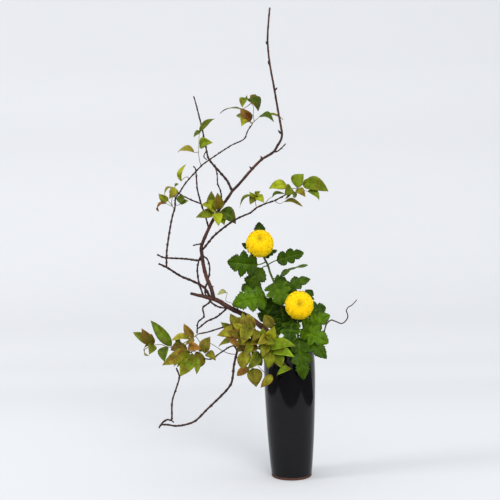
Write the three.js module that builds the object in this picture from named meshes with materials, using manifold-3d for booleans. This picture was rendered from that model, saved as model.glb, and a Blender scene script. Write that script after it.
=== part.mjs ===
// An ikebana arrangement in a tall black vase: a crooked leafy branch and two yellow pompon chrysanthemums.
// Millimetres, +Z up, the viewer looks along +Y. The origin is the centre of the vase's foot, on the table.
import * as THREE from "three";
import { mergeVertices } from "three/addons/utils/BufferGeometryUtils.js";
import Module from "manifold-3d";

const wasm = await Module();
wasm.setup();

// Driving sizes
const vaseHeight = 280;
const footRadius = 42.7;
const bodyRadius = 52.6;
const bodyHeight = 143;
const widestRadius = 54.9;
const widestHeight = 225;
const lipRadius = 50;
const mouthRadius = 46;
const wallThickness = 5;
const floorThickness = 9;
const floorRadius = 37;
const waterLevel = 228;
const clearance = 0.3;
const waterSlack = 0.1;
const crossbarRadius = 3.5;
const lowerCrossbarHeight = 258;
const upperCrossbarHeight = 265.3;
const lowerCrossbarX = 2;
const upperCrossbarY = 13;
const bloomRadius = 30;
const bloomPetals = 54;
const thickTwigRadius = 1.7;
// A traced point nearer than this to the line between its neighbours, in picture points, is left out.
const straightWithin = 0.48;
const bladeThickness = 0.9;
const petioleRadius = 0.7;
const mumPetioleRadius = 1.1;
const mumStemRadius = 2.4;
const budFootRadius = 2.1;
const budTipRadius = 0.9;
// How far a blade's halves rise from its midrib, for each millimetre across.
const shrubFold = 0.22;
const mumFold = 0.18;

// The sight line: points traced in a 500 by 500 picture become points in space at a chosen depth.
// 2.2 mm lie under each picture point at the vase's axis, and depth grows away from the viewer.
const pictureCentre = 250;
const focalLength = 801;
const eye = new THREE.Vector3(-81.3, -1762, 496.8);
const pictureRoll = 0.021;

function seen(px, py, depth) {
  const dx = px - pictureCentre;
  const dy = py - pictureCentre;
  const away = depth - eye.y;
  const right = (dx * Math.cos(pictureRoll) - dy * Math.sin(pictureRoll)) / focalLength;
  const up = (-dx * Math.sin(pictureRoll) - dy * Math.cos(pictureRoll)) / focalLength;
  return new THREE.Vector3(eye.x + right * away, depth, eye.z + up * away);
}

function placed(line) {
  return line.map(([x, y, depth]) => seen(x, y, depth));
}

function noise(i, salt) {
  const value = Math.sin(i * 12.9898 + salt * 78.233) * 43758.5453;
  return value - Math.floor(value);
}

// Solids
function solidOf(positions, faces) {
  const geometry = new THREE.BufferGeometry();
  const numbers = new Float32Array(positions.flatMap((p) => [p.x, p.y, p.z]));
  geometry.setAttribute("position", new THREE.BufferAttribute(numbers, 3));
  geometry.setIndex(faces.flat());
  return solidFromGeometry(geometry);
}

function solidFromGeometry(source) {
  const geometry = source.clone();
  geometry.deleteAttribute("normal");
  geometry.deleteAttribute("uv");
  const merged = mergeVertices(geometry, 1e-4);
  const index = [];
  const all = merged.index.array;
  for (let i = 0; i < all.length; i += 3) {
    if (all[i] !== all[i + 1] && all[i + 1] !== all[i + 2] && all[i] !== all[i + 2]) {
      index.push(all[i], all[i + 1], all[i + 2]);
    }
  }
  return new wasm.Manifold(
    new wasm.Mesh({
      numProp: 3,
      vertProperties: new Float32Array(merged.attributes.position.array),
      triVerts: new Uint32Array(index),
    })
  );
}

function joined(solids) {
  let list = solids.slice();
  while (list.length > 1) {
    const next = [];
    for (let i = 0; i < list.length; i += 2) {
      next.push(i + 1 < list.length ? list[i].add(list[i + 1]) : list[i]);
    }
    list = next;
  }
  return list[0];
}

// The largest body of a solid, so that scrap left by a cut is dropped.
function largest(solid) {
  const bodies = solid.decompose();
  return bodies.reduce((best, body) => (body.volume() > best.volume() ? body : best));
}

// A round twig through the points, one ring at each, with the given radii.
function twig(points, radii, sides) {
  const positions = [];
  const faces = [];
  const count = points.length;
  let across = new THREE.Vector3(0, 1, 0.2);
  for (let i = 0; i < count; i += 1) {
    const before = points[Math.max(i - 1, 0)];
    const after = points[Math.min(i + 1, count - 1)];
    const along = after.clone().sub(before).normalize();
    across = across.clone().addScaledVector(along, -across.dot(along)).normalize();
    const beside = along.clone().cross(across);
    for (let k = 0; k < sides; k += 1) {
      const angle = (2 * Math.PI * k) / sides;
      positions.push(
        points[i]
          .clone()
          .addScaledVector(across, Math.cos(angle) * radii[i])
          .addScaledVector(beside, Math.sin(angle) * radii[i])
      );
    }
  }
  for (let i = 0; i + 1 < count; i += 1) {
    for (let k = 0; k < sides; k += 1) {
      const a = i * sides + k;
      const b = i * sides + ((k + 1) % sides);
      faces.push([a, b, b + sides], [a, b + sides, a + sides]);
    }
  }
  const last = (count - 1) * sides;
  for (let k = 1; k + 1 < sides; k += 1) {
    faces.push([0, k + 1, k], [last, last + k, last + k + 1]);
  }
  return solidOf(positions, faces);
}

// The same route with both its ends moved on by some millimetres.
function longer(points, by) {
  if (by === 0) {
    return points;
  }
  const last = points.length - 1;
  const start = points[0].clone().add(points[0].clone().sub(points[1]).setLength(by));
  const end = points[last].clone().add(points[last].clone().sub(points[last - 1]).setLength(by));
  return [start, ...points.slice(1, last), end];
}

// Radii that run from the start's to the end's.
function taper(points, startRadius, endRadius) {
  return points.map((p, i) => startRadius + ((endRadius - startRadius) * i) / (points.length - 1));
}

// A blade's own axes: along it, across it, and its upper face's normal. Without roll it faces the viewer.
function bladeFrame(base, tip, rollDegrees) {
  const along = tip.clone().sub(base);
  const length = along.length();
  along.normalize();
  const toEye = eye.clone().sub(base).normalize();
  const side0 = toEye.clone().cross(along).normalize();
  const normal0 = along.clone().cross(side0);
  const roll = THREE.MathUtils.degToRad(rollDegrees);
  const side = side0.clone().multiplyScalar(Math.cos(roll)).addScaledVector(normal0, -Math.sin(roll));
  const normal = normal0.clone().multiplyScalar(Math.cos(roll)).addScaledVector(side0, Math.sin(roll));
  return { base, along, side, normal, length };
}

// A point of an arched blade: t along its length, s millimetres to the side.
function bladePoint(frame, shape, t, s) {
  const arch = 4 * Math.max(t, 0) * (1 - t) * frame.length;
  return frame.base
    .clone()
    .addScaledVector(frame.along, t * frame.length)
    .addScaledVector(frame.side, s + shape.curve * arch)
    .addScaledVector(frame.normal, shape.bow * arch + shape.fold * Math.abs(s));
}

// Where a stalk runs forward less than this, as a cosine, it comes from under its blade.
const leastForward = 0.15;
// A blade's side is too nearly in line with the stalk below this, as a sine, to set the stalk's width.
const leastSideways = 0.35;
const shortestStalk = 1;
const stalkMeetsMidribAt = 0.04;

// A leaf: a thin sheet between two equal faces, with a four-sided stalk from its root edge to the start.
// The outline goes round from the root's right corner to its left one. Where the start lies under the
// blade, the stalk is a twig of its own that meets the midrib.
function stalkedSheet(start, frame, shape, middle, faces, rim, stalkRadius) {
  const top = middle.map((p) => p.clone().addScaledVector(frame.normal, bladeThickness / 2));
  const bottom = middle.map((p) => p.clone().addScaledVector(frame.normal, -bladeThickness / 2));
  const n = middle.length;
  const all = [];
  for (const [a, b, c] of faces) {
    all.push([a, b, c], [a + n, c + n, b + n]);
  }
  for (let i = 0; i + 1 < rim.length; i += 1) {
    const a = rim[i];
    const b = rim[i + 1];
    all.push([a + n, b + n, b], [a + n, b, a]);
  }
  const along = frame.base.clone().sub(start).normalize();
  const left = rim[rim.length - 1];
  const right = rim[0];
  if (along.dot(frame.along) < leastForward) {
    all.push([right + n, right, left], [right + n, left, left + n]);
    const sheet = solidOf(top.concat(bottom), all);
    const meeting = bladePoint(frame, shape, stalkMeetsMidribAt, 0);
    if (start.distanceTo(meeting) < shortestStalk) {
      return sheet;
    }
    return sheet.add(twig([start, meeting], [stalkRadius, stalkRadius], 3));
  }
  let across = frame.side.clone().negate();
  across.addScaledVector(along, -across.dot(along));
  if (across.length() < leastSideways) {
    const upright = frame.normal.clone().addScaledVector(along, -frame.normal.dot(along)).normalize();
    across = along.clone().cross(upright);
  }
  across.normalize();
  const upright = across.clone().cross(along);
  const half = stalkRadius / 2;
  const ring = [[-1, -1], [1, -1], [1, 1], [-1, 1]].map(([u, v]) =>
    start.clone().addScaledVector(across, u * half).addScaledVector(upright, v * half)
  );
  const root = [left + n, right + n, right, left];
  const r = 2 * n;
  for (let i = 0; i < 4; i += 1) {
    const j = (i + 1) % 4;
    all.push([root[i], root[j], r + j], [root[i], r + j, r + i]);
  }
  all.push([r, r + 1, r + 2], [r, r + 2, r + 3]);
  return solidOf(top.concat(bottom, ring), all);
}

// The shrub's leaf: a pointed oval with a folded midrib, drawn out to a fine point.
// Each row: place along the leaf and width there, in parts of its length and width.
const ovalRows = [
  [0.3, 0.86],
  [0.66, 0.9],
];

function ovalLeaf(start, base, tip, width, roll, bow, curve) {
  const frame = bladeFrame(base, tip, roll);
  const shape = { bow, curve, fold: shrubFold };
  const middle = [bladePoint(frame, shape, 0, -petioleRadius), bladePoint(frame, shape, 0, petioleRadius)];
  for (const [t, half] of ovalRows) {
    for (const side of [-0.5, 0, 0.5]) {
      middle.push(bladePoint(frame, shape, t, side * half * width));
    }
  }
  middle.push(bladePoint(frame, shape, 1, 0));
  const faces = [
    [0, 2, 3], [0, 3, 1], [1, 3, 4],
    [2, 5, 6], [2, 6, 3], [3, 6, 7], [3, 7, 4],
    [5, 8, 6], [6, 8, 7],
  ];
  const rim = [0, 2, 5, 8, 7, 4, 1];
  return stalkedSheet(start, frame, shape, middle, faces, rim, petioleRadius);
}

// The chrysanthemum's leaf: half of its lobed outline, as (t along, s across) in parts of length and width.
const lobedHalf = [
  [0, 0.03],
  [0.1, 0.26],
  [0.22, 0.45],
  [0.32, 0.36],
  [0.36, 0.25],
  [0.46, 0.45],
  [0.59, 0.47],
  [0.64, 0.26],
  [0.76, 0.29],
  [0.88, 0.2],
];
const lobedMidrib = [0.66, 0.34];

function lobedLeaf(start, base, tip, width, roll, bow, curve) {
  const frame = bladeFrame(base, tip, roll);
  const shape = { bow, curve, fold: mumFold };
  const left = lobedHalf.map(([t, s]) => [t, s * width]);
  const flat = left.map(([t, s]) => [t, -s]);
  const tipIndex = flat.length;
  flat.push([1, 0]);
  flat.push(...left.slice().reverse());
  const upperRib = flat.length;
  const leftRoot = upperRib - 1;
  for (const t of lobedMidrib) {
    flat.push([t, 0]);
  }
  const lowerRib = upperRib + 1;
  const rim = [];
  for (let i = 0; i < upperRib; i += 1) {
    rim.push(i);
  }
  const faces = [[0, lowerRib, leftRoot]];
  const rightHalf = [...rim.slice(0, tipIndex + 1), upperRib, lowerRib];
  const leftHalf = [lowerRib, upperRib, ...rim.slice(tipIndex)];
  for (const half of [rightHalf, leftHalf]) {
    const contour = half.map((i) => new THREE.Vector2(flat[i][0] * frame.length, flat[i][1]));
    for (const [a, b, c] of THREE.ShapeUtils.triangulateShape(contour, [])) {
      const turn = contour[b].clone().sub(contour[a]).cross(contour[c].clone().sub(contour[a]));
      faces.push(turn > 0 ? [half[a], half[b], half[c]] : [half[a], half[c], half[b]]);
    }
  }
  const middle = flat.map(([t, s]) => bladePoint(frame, shape, t, s));
  return stalkedSheet(start, frame, shape, middle, faces, rim, mumPetioleRadius);
}

function nearestOn(paths, point) {
  let best = null;
  for (const path of paths) {
    for (let i = 0; i + 1 < path.length; i += 1) {
      const line = new THREE.Line3(path[i], path[i + 1]);
      const near = line.closestPointToPoint(point, true, new THREE.Vector3());
      if (best === null || near.distanceTo(point) < best.distanceTo(point)) {
        best = near;
      }
    }
  }
  return best;
}

// A leaf with its stalk, which starts on the nearest shoot.
// Columns: base x, y and depth, tip x, y and depth, width, roll, bow, sideways curve.
function leafOn(shoots, row, blade) {
  const [bx, by, bd, tx, ty, td, width, roll, bow, curve] = row;
  const base = seen(bx, by, bd);
  return blade(nearestOn(shoots, base), base, seen(tx, ty, td), width, roll, bow, curve);
}

// The leaves of one spray. Each is bent nearer or farther by a few millimetres where it would cross another.
// A bend of one millimetre counts as much as a crossing of bendCost cubic millimetres.
const bends = [0, -3, 3, -6, 6, -9, 9, -12, 12, -16, 16];
const bendCost = 0.05;

function leavesClear(shoots, rows, blade, obstacles) {
  const leaves = [];
  for (const row of rows) {
    let best = null;
    for (const bend of bends) {
      const moved = row.map((value, i) => (i === 2 || i === 5 ? value + bend : value));
      const leaf = leafOn(shoots, moved, blade);
      let cost = Math.abs(bend) * bendCost;
      for (const other of leaves.concat(obstacles)) {
        cost += leaf.intersect(other).volume();
      }
      if (best === null || cost < best.cost) {
        best = { leaf, cost };
      }
    }
    leaves.push(best.leaf);
  }
  return leaves;
}

// Shoots run on a little past their last leaf and thin out towards it.
const shootOvershoot = 0.8;
const shootTaper = 0.7;
const slimShootRadius = 0.95;

function spray(shoots, radii, rows, obstacles) {
  const stems = shoots.map((path, i) => {
    const last = path[path.length - 1];
    const onward = last.clone().sub(path[path.length - 2]).setLength(shootOvershoot);
    const whole = path.slice(0, -1).concat([last.clone().add(onward)]);
    return twig(whole, taper(whole, radii[i], radii[i] * shootTaper), radii[i] < slimShootRadius ? 3 : 4);
  });
  return joined(stems.concat(leavesClear(shoots, rows, ovalLeaf, obstacles)));
}

// The vase, turned: outside, lip, inside and floor. Each row: radius, height.
const vaseOutside = [
  [footRadius, 0],
  [45.6, 30],
  [49.6, 84],
  [bodyRadius, bodyHeight],
  [widestRadius, widestHeight],
  [54.5, 253],
  [53.2, 270],
  [lipRadius + 1.2, 277.6],
  [lipRadius - 1, vaseHeight],
];
const vaseInside = [
  [mouthRadius + 0.6, 277.8],
  [mouthRadius + 1.6, 262],
  [widestRadius - wallThickness, widestHeight],
  [bodyRadius - wallThickness, bodyHeight],
  [41, 24],
  [floorRadius, floorThickness],
];
const vaseSegments = 28;

function turned(profile) {
  const points = [new THREE.Vector2(0, profile[0][1])];
  for (const [r, z] of profile) {
    points.push(new THREE.Vector2(r, z));
  }
  points.push(new THREE.Vector2(0, profile[profile.length - 1][1]));
  const geometry = new THREE.LatheGeometry(points, vaseSegments);
  geometry.rotateX(Math.PI / 2);
  return solidFromGeometry(geometry);
}

function insideRadius(z) {
  for (let i = 0; i + 1 < vaseInside.length; i += 1) {
    const [r0, z0] = vaseInside[i];
    const [r1, z1] = vaseInside[i + 1];
    if (z <= z0 && z >= z1) {
      return r0 + ((r1 - r0) * (z - z0)) / (z1 - z0);
    }
  }
  return mouthRadius;
}

const vaseSolid = turned(vaseOutside.concat(vaseInside));

// Two sticks wedged across the inside of the mouth, one over the other.
const polygonFit = Math.cos(Math.PI / vaseSegments);
const crossbarSides = 8;

function crossbar(height, offset, alongX) {
  const reach = insideRadius(height) * polygonFit - clearance;
  const half = Math.sqrt(reach * reach - (Math.abs(offset) + crossbarRadius) ** 2);
  const ends = alongX
    ? [new THREE.Vector3(-half, offset, height), new THREE.Vector3(half, offset, height)]
    : [new THREE.Vector3(offset, -half, height), new THREE.Vector3(offset, half, height)];
  return twig(ends, [crossbarRadius, crossbarRadius], crossbarSides);
}

// The main branch, traced from the tip of its long bare line down to the mouth.
const mainLineTip = [
  [269.8, 7.7], [268, 27.8], [267.6, 42], [269.5, 62], [274.3, 89], [278.6, 114], [281.4, 129],
  [281.6, 137.8], [277.3, 146], [273.1, 152.3], [261.9, 159.3], [251.4, 169.8], [238.7, 184.5],
  [232.4, 190.8],
];
const mainLineFoot = [
  [232.4, 190.8], [226.8, 199.3], [219.8, 208.4], [214, 218], [210, 226], [205, 237], [201.6, 246.3],
  [201.8, 254], [203.7, 266.6], [207.2, 279.2], [211.4, 289], [214.2, 299.5],
];
const baseBranch = [
  [190.5, 293.5], [210, 298], [218.7, 301], [228.3, 307], [237.8, 311.7], [249.3, 317.4], [260.8, 326],
  [272, 336], [281, 350],
];
const baseBranchInVase = [
  new THREE.Vector3(-12, 0, 255),
  new THREE.Vector3(3, 2, 200),
  new THREE.Vector3(13, 3, 120),
  new THREE.Vector3(17, 4, floorThickness + clearance + 1.2),
];
// Side twigs: route, depth at the end, radius at start and end. The first depth is that of the line
// they fork from.
const sideTwigs = [
  [[[273.1, 152.3], [278, 151], [285.7, 143.8]], -22, 1.4, 0.9],
  [[[210, 297.5], [204.4, 287.7], [191.7, 280.6], [182.6, 277.1], [166.5, 267.3], [158.8, 263.8]],
    -40, 2.6, 1.7],
  [[[201.9, 257.5], [198.7, 260.3], [186.1, 258.9], [163.7, 257.5], [157.4, 254.7]], 66, 2.2, 1.5],
  [[[201.8, 254.4], [198.8, 261], [197.3, 269.4], [198.8, 282], [203.5, 296.4]], 14, 1.6, 1.6],
  [[[202, 255], [207.3, 259.3], [209.6, 267], [208.8, 277], [205, 290], [206, 297]], 14, 1.5, 1.5],
  [[[203, 249.4], [214.2, 235.7], [231, 222.4], [240.8, 216.8], [250.7, 212.6], [256.6, 207.8],
    [265, 203.8], [274.4, 200.7], [288.4, 193], [290.6, 190.6]], -60, 2, 1.1],
  [[[232.2, 191.2], [226.8, 180.3], [212.8, 164.2], [208.6, 158.6], [206.5, 150.2], [201.6, 126.3],
    [195.9, 103.9], [193.8, 96.1]], 60, 2.4, 1],
  [[[222.2, 205.2], [220.5, 190.8], [217.7, 183.8], [217, 174], [214.5, 165]], -14, 1.4, 0.9],
  [[[166.5, 267.3], [166.8, 251], [170, 228.7], [172.8, 214.7], [174.9, 207.6], [175.6, 198],
    [179.1, 193], [186.1, 182.5], [201.8, 165.4], [209.6, 159.6], [231, 145.5], [243.9, 139.1],
    [247.9, 130.5], [252, 124.6]], 18, 1.75, 1],
  [[[208.8, 228.6], [205.8, 217.5], [200.2, 200.7], [197.4, 189.4], [196, 172.6], [195.4, 168.4],
    [193.3, 166.3]], -8, 1.6, 1.1],
  [[[201.2, 203.8], [190.3, 199.5], [179.1, 193.4], [176.3, 189.6]], -12, 1.5, 0.9],
  [[[204.6, 238], [202, 243], [193, 245.5]], 6, 1.4, 1.1],
  [[[206.6, 150.8], [204.2, 154.6], [204.1, 157.4], [206.9, 159.8]], 32, 1, 0.9],
  [[[211, 298.4], [208.7, 303], [202.9, 307.8], [203.9, 316.5], [198.1, 322.2], [197, 333.4]],
    -20, 1.5, 1],
  [[[228.3, 307], [216.8, 316.9], [207.2, 321.2], [199.6, 327.4]], -18, 1.5, 1],
  [[[208, 297.6], [212, 303], [218.7, 306.9], [226, 308.2]], -2, 1.9, 1.5],
];
// Buds of the bare line: foot on the line, tip beside it.
const buds = [
  [[267.7, 44.6], [265.7, 41.4]], [[269.4, 64.6], [268, 60.8]], [[274.6, 90.5], [277.4, 87.5]],
  [[280.7, 133.5], [278, 130]], [[262.4, 159.4], [260.6, 155.8]], [[251.8, 169.2], [249.4, 166.4]],
  [[211, 288], [213.6, 286]],
];

// The depth of the drawn line that passes nearest to a picture point.
function depthBeside(lines, px, py) {
  let best = Infinity;
  let depth = 0;
  for (const line of lines) {
    for (let i = 0; i + 1 < line.length; i += 1) {
      const [ax, ay, ad] = line[i];
      const [bx, by, bd] = line[i + 1];
      const span = (bx - ax) ** 2 + (by - ay) ** 2;
      const share = THREE.MathUtils.clamp(((px - ax) * (bx - ax) + (py - ay) * (by - ay)) / span, 0, 1);
      const gap = Math.hypot(px - ax - share * (bx - ax), py - ay - share * (by - ay));
      if (gap < best) {
        best = gap;
        depth = ad + share * (bd - ad);
      }
    }
  }
  return depth;
}

// A line of picture points, with the depth running evenly from its start to its end.
function withDepth(points, startDepth, endDepth) {
  const lengths = [0];
  for (let i = 1; i < points.length; i += 1) {
    const step = Math.hypot(points[i][0] - points[i - 1][0], points[i][1] - points[i - 1][1]);
    lengths.push(lengths[i - 1] + step);
  }
  const total = lengths[lengths.length - 1];
  const line = points.map(([x, y], i) => [x, y, startDepth + ((endDepth - startDepth) * lengths[i]) / total]);
  return line.filter(bendsAt);
}

// Whether a line's i-th point lies off the straight between its neighbours.
function bendsAt(point, i, line) {
  if (i === 0 || i === line.length - 1) {
    return true;
  }
  const [ax, ay] = line[i - 1];
  const [bx, by] = line[i + 1];
  const away = (point[0] - ax) * (by - ay) - (point[1] - ay) * (bx - ax);
  return Math.abs(away) > straightWithin * Math.hypot(bx - ax, by - ay);
}

// Depths and radii of the main branch, from the tip down to the vase's floor.
const mainTipDepth = -18;
const mainForkDepth = 10;
const mainFootDepth = 12;
const baseStartDepth = 16;
const baseEndDepth = 0;
const mainTipRadius = 1.5;
const mainForkRadius = 2.9;
const mainFootRadius = 4.2;
const baseRadii = [2.6, 4.4, 4.8, 5, 5.2, 5.4, 5.6, 5.8, 6, 6, 6, 6];
const budLean = 2;

const mainUpper = withDepth(mainLineTip, mainTipDepth, mainForkDepth);
const mainLower = withDepth(mainLineFoot, mainForkDepth, mainFootDepth);
const mainBase = withDepth(baseBranch, baseStartDepth, baseEndDepth);
const mainLines = [mainUpper, mainLower, mainBase];
const twigLines = [];
for (const [points, endDepth] of sideTwigs) {
  const startDepth = depthBeside(mainLines.concat(twigLines), points[0][0], points[0][1]);
  twigLines.push(withDepth(points, startDepth, endDepth));
}

function mainBranch(grow) {
  const upper = longer(placed(mainUpper), grow);
  const lower = placed(mainLower);
  const base = longer(placed(mainBase).concat(baseBranchInVase), grow);
  const solids = [
    twig(upper, taper(upper, mainTipRadius + grow, mainForkRadius + grow), 5),
    twig(lower, taper(lower, mainForkRadius + grow, mainFootRadius + grow), 5),
    twig(base, baseRadii.map((r) => r + grow), 6),
  ];
  sideTwigs.forEach(([, , startRadius, endRadius], i) => {
    const path = longer(placed(twigLines[i]), grow);
    const sides = startRadius < thickTwigRadius ? 3 : 4;
    solids.push(twig(path, taper(path, startRadius + grow, endRadius + grow), sides));
  });
  for (const [foot, tip] of buds) {
    const depth = depthBeside(mainLines, foot[0], foot[1]);
    const path = [seen(foot[0], foot[1], depth), seen(tip[0], tip[1], depth - budLean)];
    solids.push(twig(path, [budFootRadius + grow, budTipRadius + grow], 3));
  }
  return joined(solids);
}

// The drooping branch: from the vase out over the lip, into the leafy spray and the loop of bare twig.
const droopInVase = [
  new THREE.Vector3(2, -31, floorThickness + clearance + 1),
  new THREE.Vector3(-8, -31, 120),
  new THREE.Vector3(-19, -28, 200),
  new THREE.Vector3(-26, -24, 258),
];
const droopOut = [[274, 341], [262, 335.5], [250, 331.5], [240, 329]];
const droopSpray = [
  [240, 329], [237.8, 325.6], [228.3, 326], [217.8, 328.9], [207.2, 332.2], [198.6, 333.8],
];
const droopLipDepth = -36;
const droopForkDepth = -50;
const droopSprayDepth = -40;
const droopRadii = [3, 3.1, 3.2, 3.2, 3.1, 2.9, 2.7];
const droopSprayRadius = 2;
const droopTipRadius = 1.2;
// Twigs of the loop, in the same columns as the side twigs.
const loopTwigs = [
  [[[243, 330], [237.8, 349], [234, 365], [233, 375], [231, 384], [224.5, 392.5], [207, 409.5],
    [195.9, 420.5], [187.9, 424], [177, 426], [166.4, 424.6], [161, 425], [159, 428]], -84, 2, 1.2],
  [[[161, 424.8], [162.9, 422.3], [167.3, 419.6], [171.3, 420], [171.8, 407], [172.7, 399], [178, 383],
    [179.4, 376.5], [176.3, 368]], -74, 1.5, 1],
  [[[171, 419.8], [173.8, 422.4]], -82, 1.1, 0.8],
  [[[237.2, 351], [233.4, 345.8], [222.7, 351.3], [211, 359], [204, 358.6]], -66, 1.2, 0.9],
];
const droopLines = [
  withDepth(droopOut, droopLipDepth, droopForkDepth),
  withDepth(droopSpray, droopForkDepth, droopSprayDepth),
];
for (const [points, endDepth] of loopTwigs) {
  droopLines.push(withDepth(points, depthBeside(droopLines, points[0][0], points[0][1]), endDepth));
}

function droopingBranch(grow) {
  const [outLine, sprayLine, ...loopLines] = droopLines;
  const out = longer(droopInVase.concat(placed(outLine)), grow);
  const tail = longer(placed(sprayLine), grow);
  const solids = [
    twig(out, droopRadii.map((r) => r + grow), 5),
    twig(tail, taper(tail, droopSprayRadius + grow, droopTipRadius + grow), 4),
  ];
  loopTwigs.forEach(([, , startRadius, endRadius], i) => {
    const path = longer(placed(loopLines[i]), grow);
    solids.push(twig(path, taper(path, startRadius + grow, endRadius + grow), 4));
  });
  return joined(solids);
}

// The curled twig on the right.
const tendrilRoute = [
  [356.7, 299.8], [354, 303], [351.3, 305.5], [348.7, 306.8], [347.1, 308.8], [346.4, 311],
  [347.5, 314], [347.8, 317], [346.2, 320.2], [344, 322.5], [341, 323.5], [337.5, 322.2], [334.4, 321],
  [331.5, 320], [328.3, 322], [326.3, 324.5], [325.2, 327.4], [324, 331],
];
const tendrilInVase = [
  new THREE.Vector3(57, 38, 305),
  new THREE.Vector3(40, 30, 292),
  new THREE.Vector3(28, 25, 276),
  new THREE.Vector3(20, 22, 240),
  new THREE.Vector3(13, 22, 120),
  new THREE.Vector3(10, 20, floorThickness + clearance + 0.4),
];

const tendrilTipDepth = 20;
const tendrilLipDepth = 40;
const tendrilTipRadius = 0.8;
const tendrilFootRadius = 1.6;

function tendrilTwig(grow) {
  const line = withDepth(tendrilRoute, tendrilTipDepth, tendrilLipDepth);
  const path = longer(placed(line).concat(tendrilInVase), grow);
  return twig(path, taper(path, tendrilTipRadius + grow, tendrilFootRadius + grow), 4);
}

// Leaves of the shrub. Each row: base x, y, depth, tip x, y, depth, width, roll, bow, sideways curve.
const topShoots = [
  { path: [[252, 124.6, 18], [253.2, 122.4, 18], [256.6, 119.4, 17], [259.6, 116.6, 16]], radius: 0.9 },
  { path: [[254.2, 121.6, 18], [253.2, 114, 20], [253.5, 107, 21], [249.6, 100.4, 22]], radius: 0.7 },
];
const topLeaves = [
  [259.6, 117, 16, 274, 121.7, 6, 18, 50, 0.26, 0],
  [260, 116, 18, 283.2, 119.2, 30, 12, 76, 0.12, 0],
  [248.6, 98.6, 22, 258.2, 111, 12, 22, 20, 0.12, 0.2],
  [252, 101.5, 22, 255.9, 94.6, 36, 15, 15, 0.1, 0],
  [248, 98.6, 21, 242.4, 107.6, 10, 16, -25, 0.15, -0.18],
  [247.6, 99.6, 24, 247.2, 94.4, 34, 5, 50, 0.1, 0],
  [250.4, 121.4, 18, 240.2, 108.2, 8, 22, 10, 0.12, -0.05],
  [241, 109.6, 26, 220, 113, 34, 9, -78, 0.14, 0],
  [243.6, 117.6, 26, 236, 115, 42, 10, -30, 0.05, 0],
  [243.4, 118.8, 13, 241.6, 126, 2, 16, 12, 0.25, 0],
];
const upperLeftShoots = [
  { path: [[201.8, 165.4, 1], [200, 162.5, 2], [198.7, 154.6, 6], [198.7, 147, 8], [199.2, 134, 14]],
    radius: 0.8 },
];
const upperLeftLeaves = [
  [199.8, 132, 14, 214.7, 118.5, 4, 14, 40, 0.13, 0],
  [200.2, 131.5, 15, 193.6, 137.4, 4, 10, -30, 0.16, 0],
  [199.6, 146.8, 8, 212.6, 142.8, -4, 20, 15, 0.16, 0.15],
  [194.4, 152.4, 10, 177.7, 152.2, 20, 16, -50, 0.24, 0],
];
const curledShoots = [
  { path: [[188.8, 178.4, -10], [187.2, 176.9, -12], [184, 178, -14], [181.2, 181, -16]], radius: 0.8 },
];
const curledLeaves = [
  [181, 181.2, -16, 186, 164.4, -26, 10, 25, 0.12, 0.14],
];
const leftShoots = [
  { path: [[174.5, 209.4, -12], [172.4, 206.2, -18], [170, 203, -22], [168.4, 201.4, -24]], radius: 0.9 },
  { path: [[172.4, 206.2, -18], [171.6, 201, -20], [173.6, 193, -20], [174.6, 188.4, -19]], radius: 0.8 },
  { path: [[172.4, 206.2, -18], [170.4, 205.8, -22], [166.2, 203.4, -26]], radius: 0.7 },
];
const leftLeaves = [
  [174.4, 187.6, -20, 169.6, 198.6, -36, 17, 15, 0.12, 0],
  [175, 188, -18, 174.4, 197.6, -8, 15, -20, 0.12, -0.1],
  [174, 188, -22, 164.4, 195.8, -30, 10, -68, 0.3, 0],
  [168, 200.8, -25, 158.6, 193.6, -34, 15, 20, 0.12, 0],
  [166, 202.6, -26, 156.2, 208, -34, 10, -60, 0.12, 0],
  [157.6, 207, -33, 158.8, 211.8, -32, 6, -50, 0.1, 0],
  [175, 186.6, -19, 179, 184, -14, 7, 50, 0.2, 0],
];
const leftInnerShoots = [
  { path: [[175.4, 204.8, -11], [177.4, 205.4, -14], [181.6, 203.4, -18]], radius: 0.8 },
];
const leftInnerLeaves = [
  [181.6, 203.2, -18, 180.6, 194.8, -4, 16, 10, 0.12, 0],
  [182, 202.6, -18, 188.4, 200.8, -30, 11, 20, 0.15, 0],
  [181, 202.6, -18, 178, 201.8, -34, 11, -20, 0.15, 0],
];
const centreShoots = [
  { path: [[217, 213.4, 13], [216.8, 212.4, 4], [216.7, 212, -2]], radius: 2.2 },
];
const centreLeaves = [
  [215.6, 209, 0, 211.3, 191, -8, 20, 10, 0.12, 0.08],
  [217.2, 209.4, -2, 217.3, 192.6, -18, 22, -15, 0.14, 0],
  [215, 211, -2, 201.2, 204.8, -20, 22, -20, 0.16, -0.16],
  [214.4, 212.2, 0, 196, 217.2, -12, 19, -20, 0.14, 0.04],
  [216, 213.2, -2, 218.7, 225.6, -20, 20, 12, 0.14, 0],
  [219, 212.4, -1, 235.9, 223.6, -10, 28, 15, 0.16, 0.12],
  [219.6, 213.8, -2, 224.3, 225, -12, 17, 10, 0.12, 0],
  [216, 210.6, 2, 205.6, 213.4, 20, 15, -30, 0.12, 0],
];
const rightInnerShoots = [
  { path: [[256.6, 207.8, -25], [255.6, 203, -28], [255.8, 196.4, -32]], radius: 0.8 },
];
const rightInnerLeaves = [
  [255.4, 195.6, -32, 239.4, 207, -26, 12, -66, 0.22, 0],
  [256, 196, -32, 249.2, 191.8, -46, 10, 30, 0.14, 0],
  [256.4, 196, -32, 260.2, 191.2, -42, 12, 30, 0.14, 0],
  [255.8, 196.6, -33, 250, 204.4, -46, 16, -20, 0.16, 0],
  [256.2, 196.6, -33, 264, 202.6, -44, 16, 25, 0.16, 0],
];
const rightShoots = [
  { path: [[290.6, 190.6, -60], [292.3, 188.6, -61], [296.7, 188.3, -62], [303, 184.4, -66]], radius: 0.9 },
  { path: [[296.7, 188.3, -62], [302, 189.8, -68], [307.6, 191.3, -72]], radius: 0.7 },
];
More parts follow.
